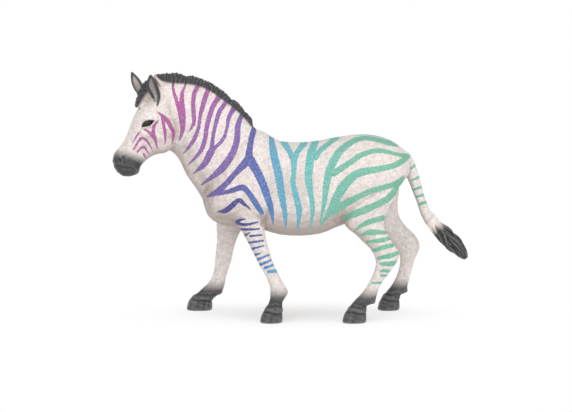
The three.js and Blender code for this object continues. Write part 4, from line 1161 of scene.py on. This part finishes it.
# Half the width of an ear at shares of its length, to find its rim
ear_shares = [0, 0.14, 0.26, 0.42, 0.58, 0.74, 0.88, 0.97, 1]
ear_halves = [1.33, 1.45, 1.8, 2.3, 2.42, 2.0, 1.23, 0.54, 0.15]
for side in ("left", "right"):
    ear = merged_copy("ear_" + side + "_cup", ["ear_" + side])
    places, _ = clay(ear)
    top = places[places[:, 2].argmax()]
    base = places[places[:, 2] < places[:, 2].min() + 1.2].mean(0)
    length = np.linalg.norm(top - base)
    axis = (top - base) / length
    share = (places - base) @ axis / length
    front = np.array(ear_facing[side]) - axis * (np.array(ear_facing[side]) @ axis)
    front /= np.linalg.norm(front)
    wide = np.cross(axis, front)
    lean = smooth_step(share, 0.1, 0.6)[:, None]
    places = places + wide * (0.08 * ((places - base) @ wide) * lean[:, 0])[:, None]
    places = places + np.array([-ear_nudge[side], 0, 0]) * lean
    into_head = HEAD_SIDE * ear_inward[side] - 0.3 * axis
    set_clay(ear, places + smooth_step(-share, -0.24, -0.02)[:, None] * into_head)
    finish_with(ear, "REMESH", mode="VOXEL", voxel_size=EAR_VOXEL)
    relax(ear, rounds=6)
    keep_ridges(ear, rounds=12, height=0.1)
    bpy.ops.object.shade_smooth()
    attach(ear, "root")
    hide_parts("ear_" + side)
    paint(ear)
    places, normals = clay(ear)
    share = (places - base) @ axis / length
    nudged = np.array([ear_nudge[side], 0, 0]) * smooth_step(share, 0.1, 0.6)[:, None]
    across = (places + nudged - base) @ wide
    margin = np.interp(share, ear_shares, ear_halves) - np.abs(across)
    # Painted shade inside the cup, more towards one edge and low in the hollow; dark paint on the rim and
    # tip
    inside = smooth_step(normals @ front, -0.1, 0.4)
    cup = inside * (ear_inner_shade[side] + ear_shade[side] * smooth_step(across, -0.5, 0.9))
    rim = smooth_step(-margin, -1.15, -0.6)
    hollow = smooth_step(-share, -0.5, -0.2) * smooth_step(across, -1.3, 0.7)
    cup = np.maximum(cup, ear_hollow_shade[side] * hollow * smooth_step(normals @ front, -0.6, -0.1))
    tip = 0.95 * smooth_step(share, 0.76, 0.94)
    from_foot = share + 0.45 * smooth_step(across, -0.7, 0.7)
    dark = np.maximum(np.maximum(cup, rim), tip) * smooth_step(from_foot, -0.1, 0.28)
    ear.data.attributes["soot"].data.foreach_set("value", dark.astype(np.float32))
    ear.data.materials.append(hide)

# Eyes: long glossy eyeballs with a raised cornea, lying a little inside their lids. They are
# painted brown-black under a clear varnish, with a darker pupil.
EYE_LONG = np.array([0.845, 0.308, 0.438])  # the way that an eye's length runs
eye_halves = (2.0, 1.3, 1.3)
CORNEA_RISE, CORNEA_REACH = 0.07, 0.5
BRUSH_SCALE = 2600  # brush marks about 0.4 mm apart
eye_rings = [(0.0, "#0a090a"), (0.13, "#0d0b0b"), (0.16, "#30211b"), (0.3, "#1e1512"), (0.36, "#3a302d")]
varnish = blank_material("varnished_painted_eye")
spot = add_node(varnish, "TexCoord").outputs["Object"]
gaze_share = add_node(varnish, "Attribute", {"attribute_name": "gaze"}).outputs["Fac"]
brush = add_node(varnish, "TexNoise", {"Scale": BRUSH_SCALE, "Detail": 2}, {"Vector": spot})
uneven = add_node(varnish, "Math", {"operation": "MULTIPLY_ADD", 1: 0.05}, {0: brush, 2: gaze_share})
rings = add_node(varnish, "ValToRGB", links={"Fac": uneven})
set_stops(rings.color_ramp, eye_rings)
gloss = add_node(varnish, "BsdfPrincipled", {"Roughness": 0.12, "IOR": 1.45}, {"Base Color": rings})
add_node(varnish, "OutputMaterial", links={"Surface": gloss})

for side, out in (("left", -HEAD_SIDE), ("right", HEAD_SIDE)):
    low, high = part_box("eye_" + side)
    middle = (np.array(low) + np.array(high)) * MM / 2
    bpy.ops.object.select_all(action="DESELECT")
    bpy.ops.mesh.primitive_uv_sphere_add(segments=64, ring_count=40, radius=1 / MM)
    eye = bpy.context.object
    eye.name = eye.data.name = "eye_" + side + "_ball"
    ball, _ = clay(eye)
    gaze = np.arccos(np.clip(ball[:, 2] / np.linalg.norm(ball, axis=1), -1, 1))
    cornea = 1 + CORNEA_RISE * np.exp(-((gaze / CORNEA_REACH) ** 4))
    ways = np.array([EYE_LONG, np.cross(out, EYE_LONG), out])
    set_clay(eye, middle + (ball * cornea[:, None] * eye_halves) @ ways)
    keep_number(eye, "gaze", gaze / math.pi)
    edit(bpy.ops.mesh.normals_make_consistent, inside=False)
    bpy.ops.object.shade_smooth()
    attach(eye, "root")
    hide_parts("eye_" + side)
    eye.data.materials.append(varnish)

# Studio: a plain pale floor that runs out to white, with soft light from above, as in a product
# photograph. Near the feet the floor keeps their shadow.
bpy.ops.object.select_all(action="DESELECT")
bpy.ops.mesh.primitive_plane_add(size=6, location=(0, 0, 0))
floor = bpy.context.object
floor.name = "floor"
paper = blank_material("white_paper")
spot = add_node(paper, "TexCoord").outputs["Object"]
round_feet = add_node(paper, "VectorMath", {"operation": "MULTIPLY", 1: (0.35, 1, 1)}, {0: spot})
reach = add_node(paper, "VectorMath", {"operation": "LENGTH"}, {0: round_feet})
far = add_node(
    paper, "MapRange",
    {"interpolation_type": "SMOOTHSTEP", "From Min": 0, "From Max": 0.024, "To Min": 0.25, "To Max": 1},
    {"Value": reach.outputs["Value"]},
)
rays = add_node(paper, "LightPath").outputs
seen_ray = add_node(
    paper, "Math", {"operation": "MAXIMUM"}, {0: rays["Is Camera Ray"], 1: rays["Is Glossy Ray"]}
)
any_ray = add_node(
    paper, "Math", {"operation": "MAXIMUM"}, {0: seen_ray, 1: rays["Is Transmission Ray"]}
)
share = add_node(paper, "Math", {"operation": "MULTIPLY"}, {0: far, 1: any_ray})
lit = add_node(paper, "BsdfDiffuse", {"Color": linear("#fafafa")})
white = add_node(paper, "Emission", {"Color": (1, 1, 1, 1), "Strength": 1.0})
sheet = add_node(paper, "MixShader", links={0: share, 1: lit, 2: white})
add_node(paper, "OutputMaterial", links={"Surface": sheet})
floor.data.materials.append(paper)
floor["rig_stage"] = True

world = bpy.data.worlds.new("studio")
bpy.context.scene.world = world
world.use_nodes = True
world.node_tree.nodes.clear()
rays = add_node(world, "LightPath").outputs
seen_ray = add_node(
    world, "Math", {"operation": "MAXIMUM"}, {0: rays["Is Camera Ray"], 1: rays["Is Transmission Ray"]}
)
soft = add_node(world, "Background", {"Color": (1, 1, 1, 1), "Strength": 0.66})
shown = add_node(world, "Background", {"Color": (1, 1, 1, 1), "Strength": 1.0})
either = add_node(world, "MixShader", links={0: seen_ray, 1: soft, 2: shown})
add_node(world, "OutputWorld", links={"Surface": either})

LAMP_SIZE = 0.6
lamp_aim = Vector((0, 0, 0.04))
lamps = [
    ("key_light", (-0.14, -0.24, 0.6), 1.5), ("front_fill", (-0.12, -0.58, 0.16), 0.7),
    ("hind_fill", (0.5, -0.35, 0.08), 1.75),
]
for name, place, power in lamps:
    bpy.ops.object.light_add(type="AREA", location=place)
    lamp = bpy.context.object
    lamp.name = name
    lamp.data.shape = "DISK"
    lamp.data.size = LAMP_SIZE
    lamp.data.energy = power
    lamp.rotation_mode = "QUATERNION"
    lamp.rotation_quaternion = (lamp.location - lamp_aim).to_track_quat("Z", "Y")

bpy.ops.object.camera_add()
camera = bpy.context.object
camera.data.lens = 300
camera.data.sensor_width = 36
camera.data.clip_end = 20
aim = Vector((-0.0017, 0, 0.0383))
distance = PHOTO_WIDTH * PIXEL / MM * camera.data.lens / camera.data.sensor_width
back = Vector((0, -math.cos(LOOK_DOWN), math.sin(LOOK_DOWN)))
camera.location = aim + back * distance
camera.rotation_mode = "QUATERNION"
camera.rotation_quaternion = back.to_track_quat("Z", "Y")
bpy.context.scene.camera = camera
bpy.context.scene.view_settings.view_transform = "Standard"

low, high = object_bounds()
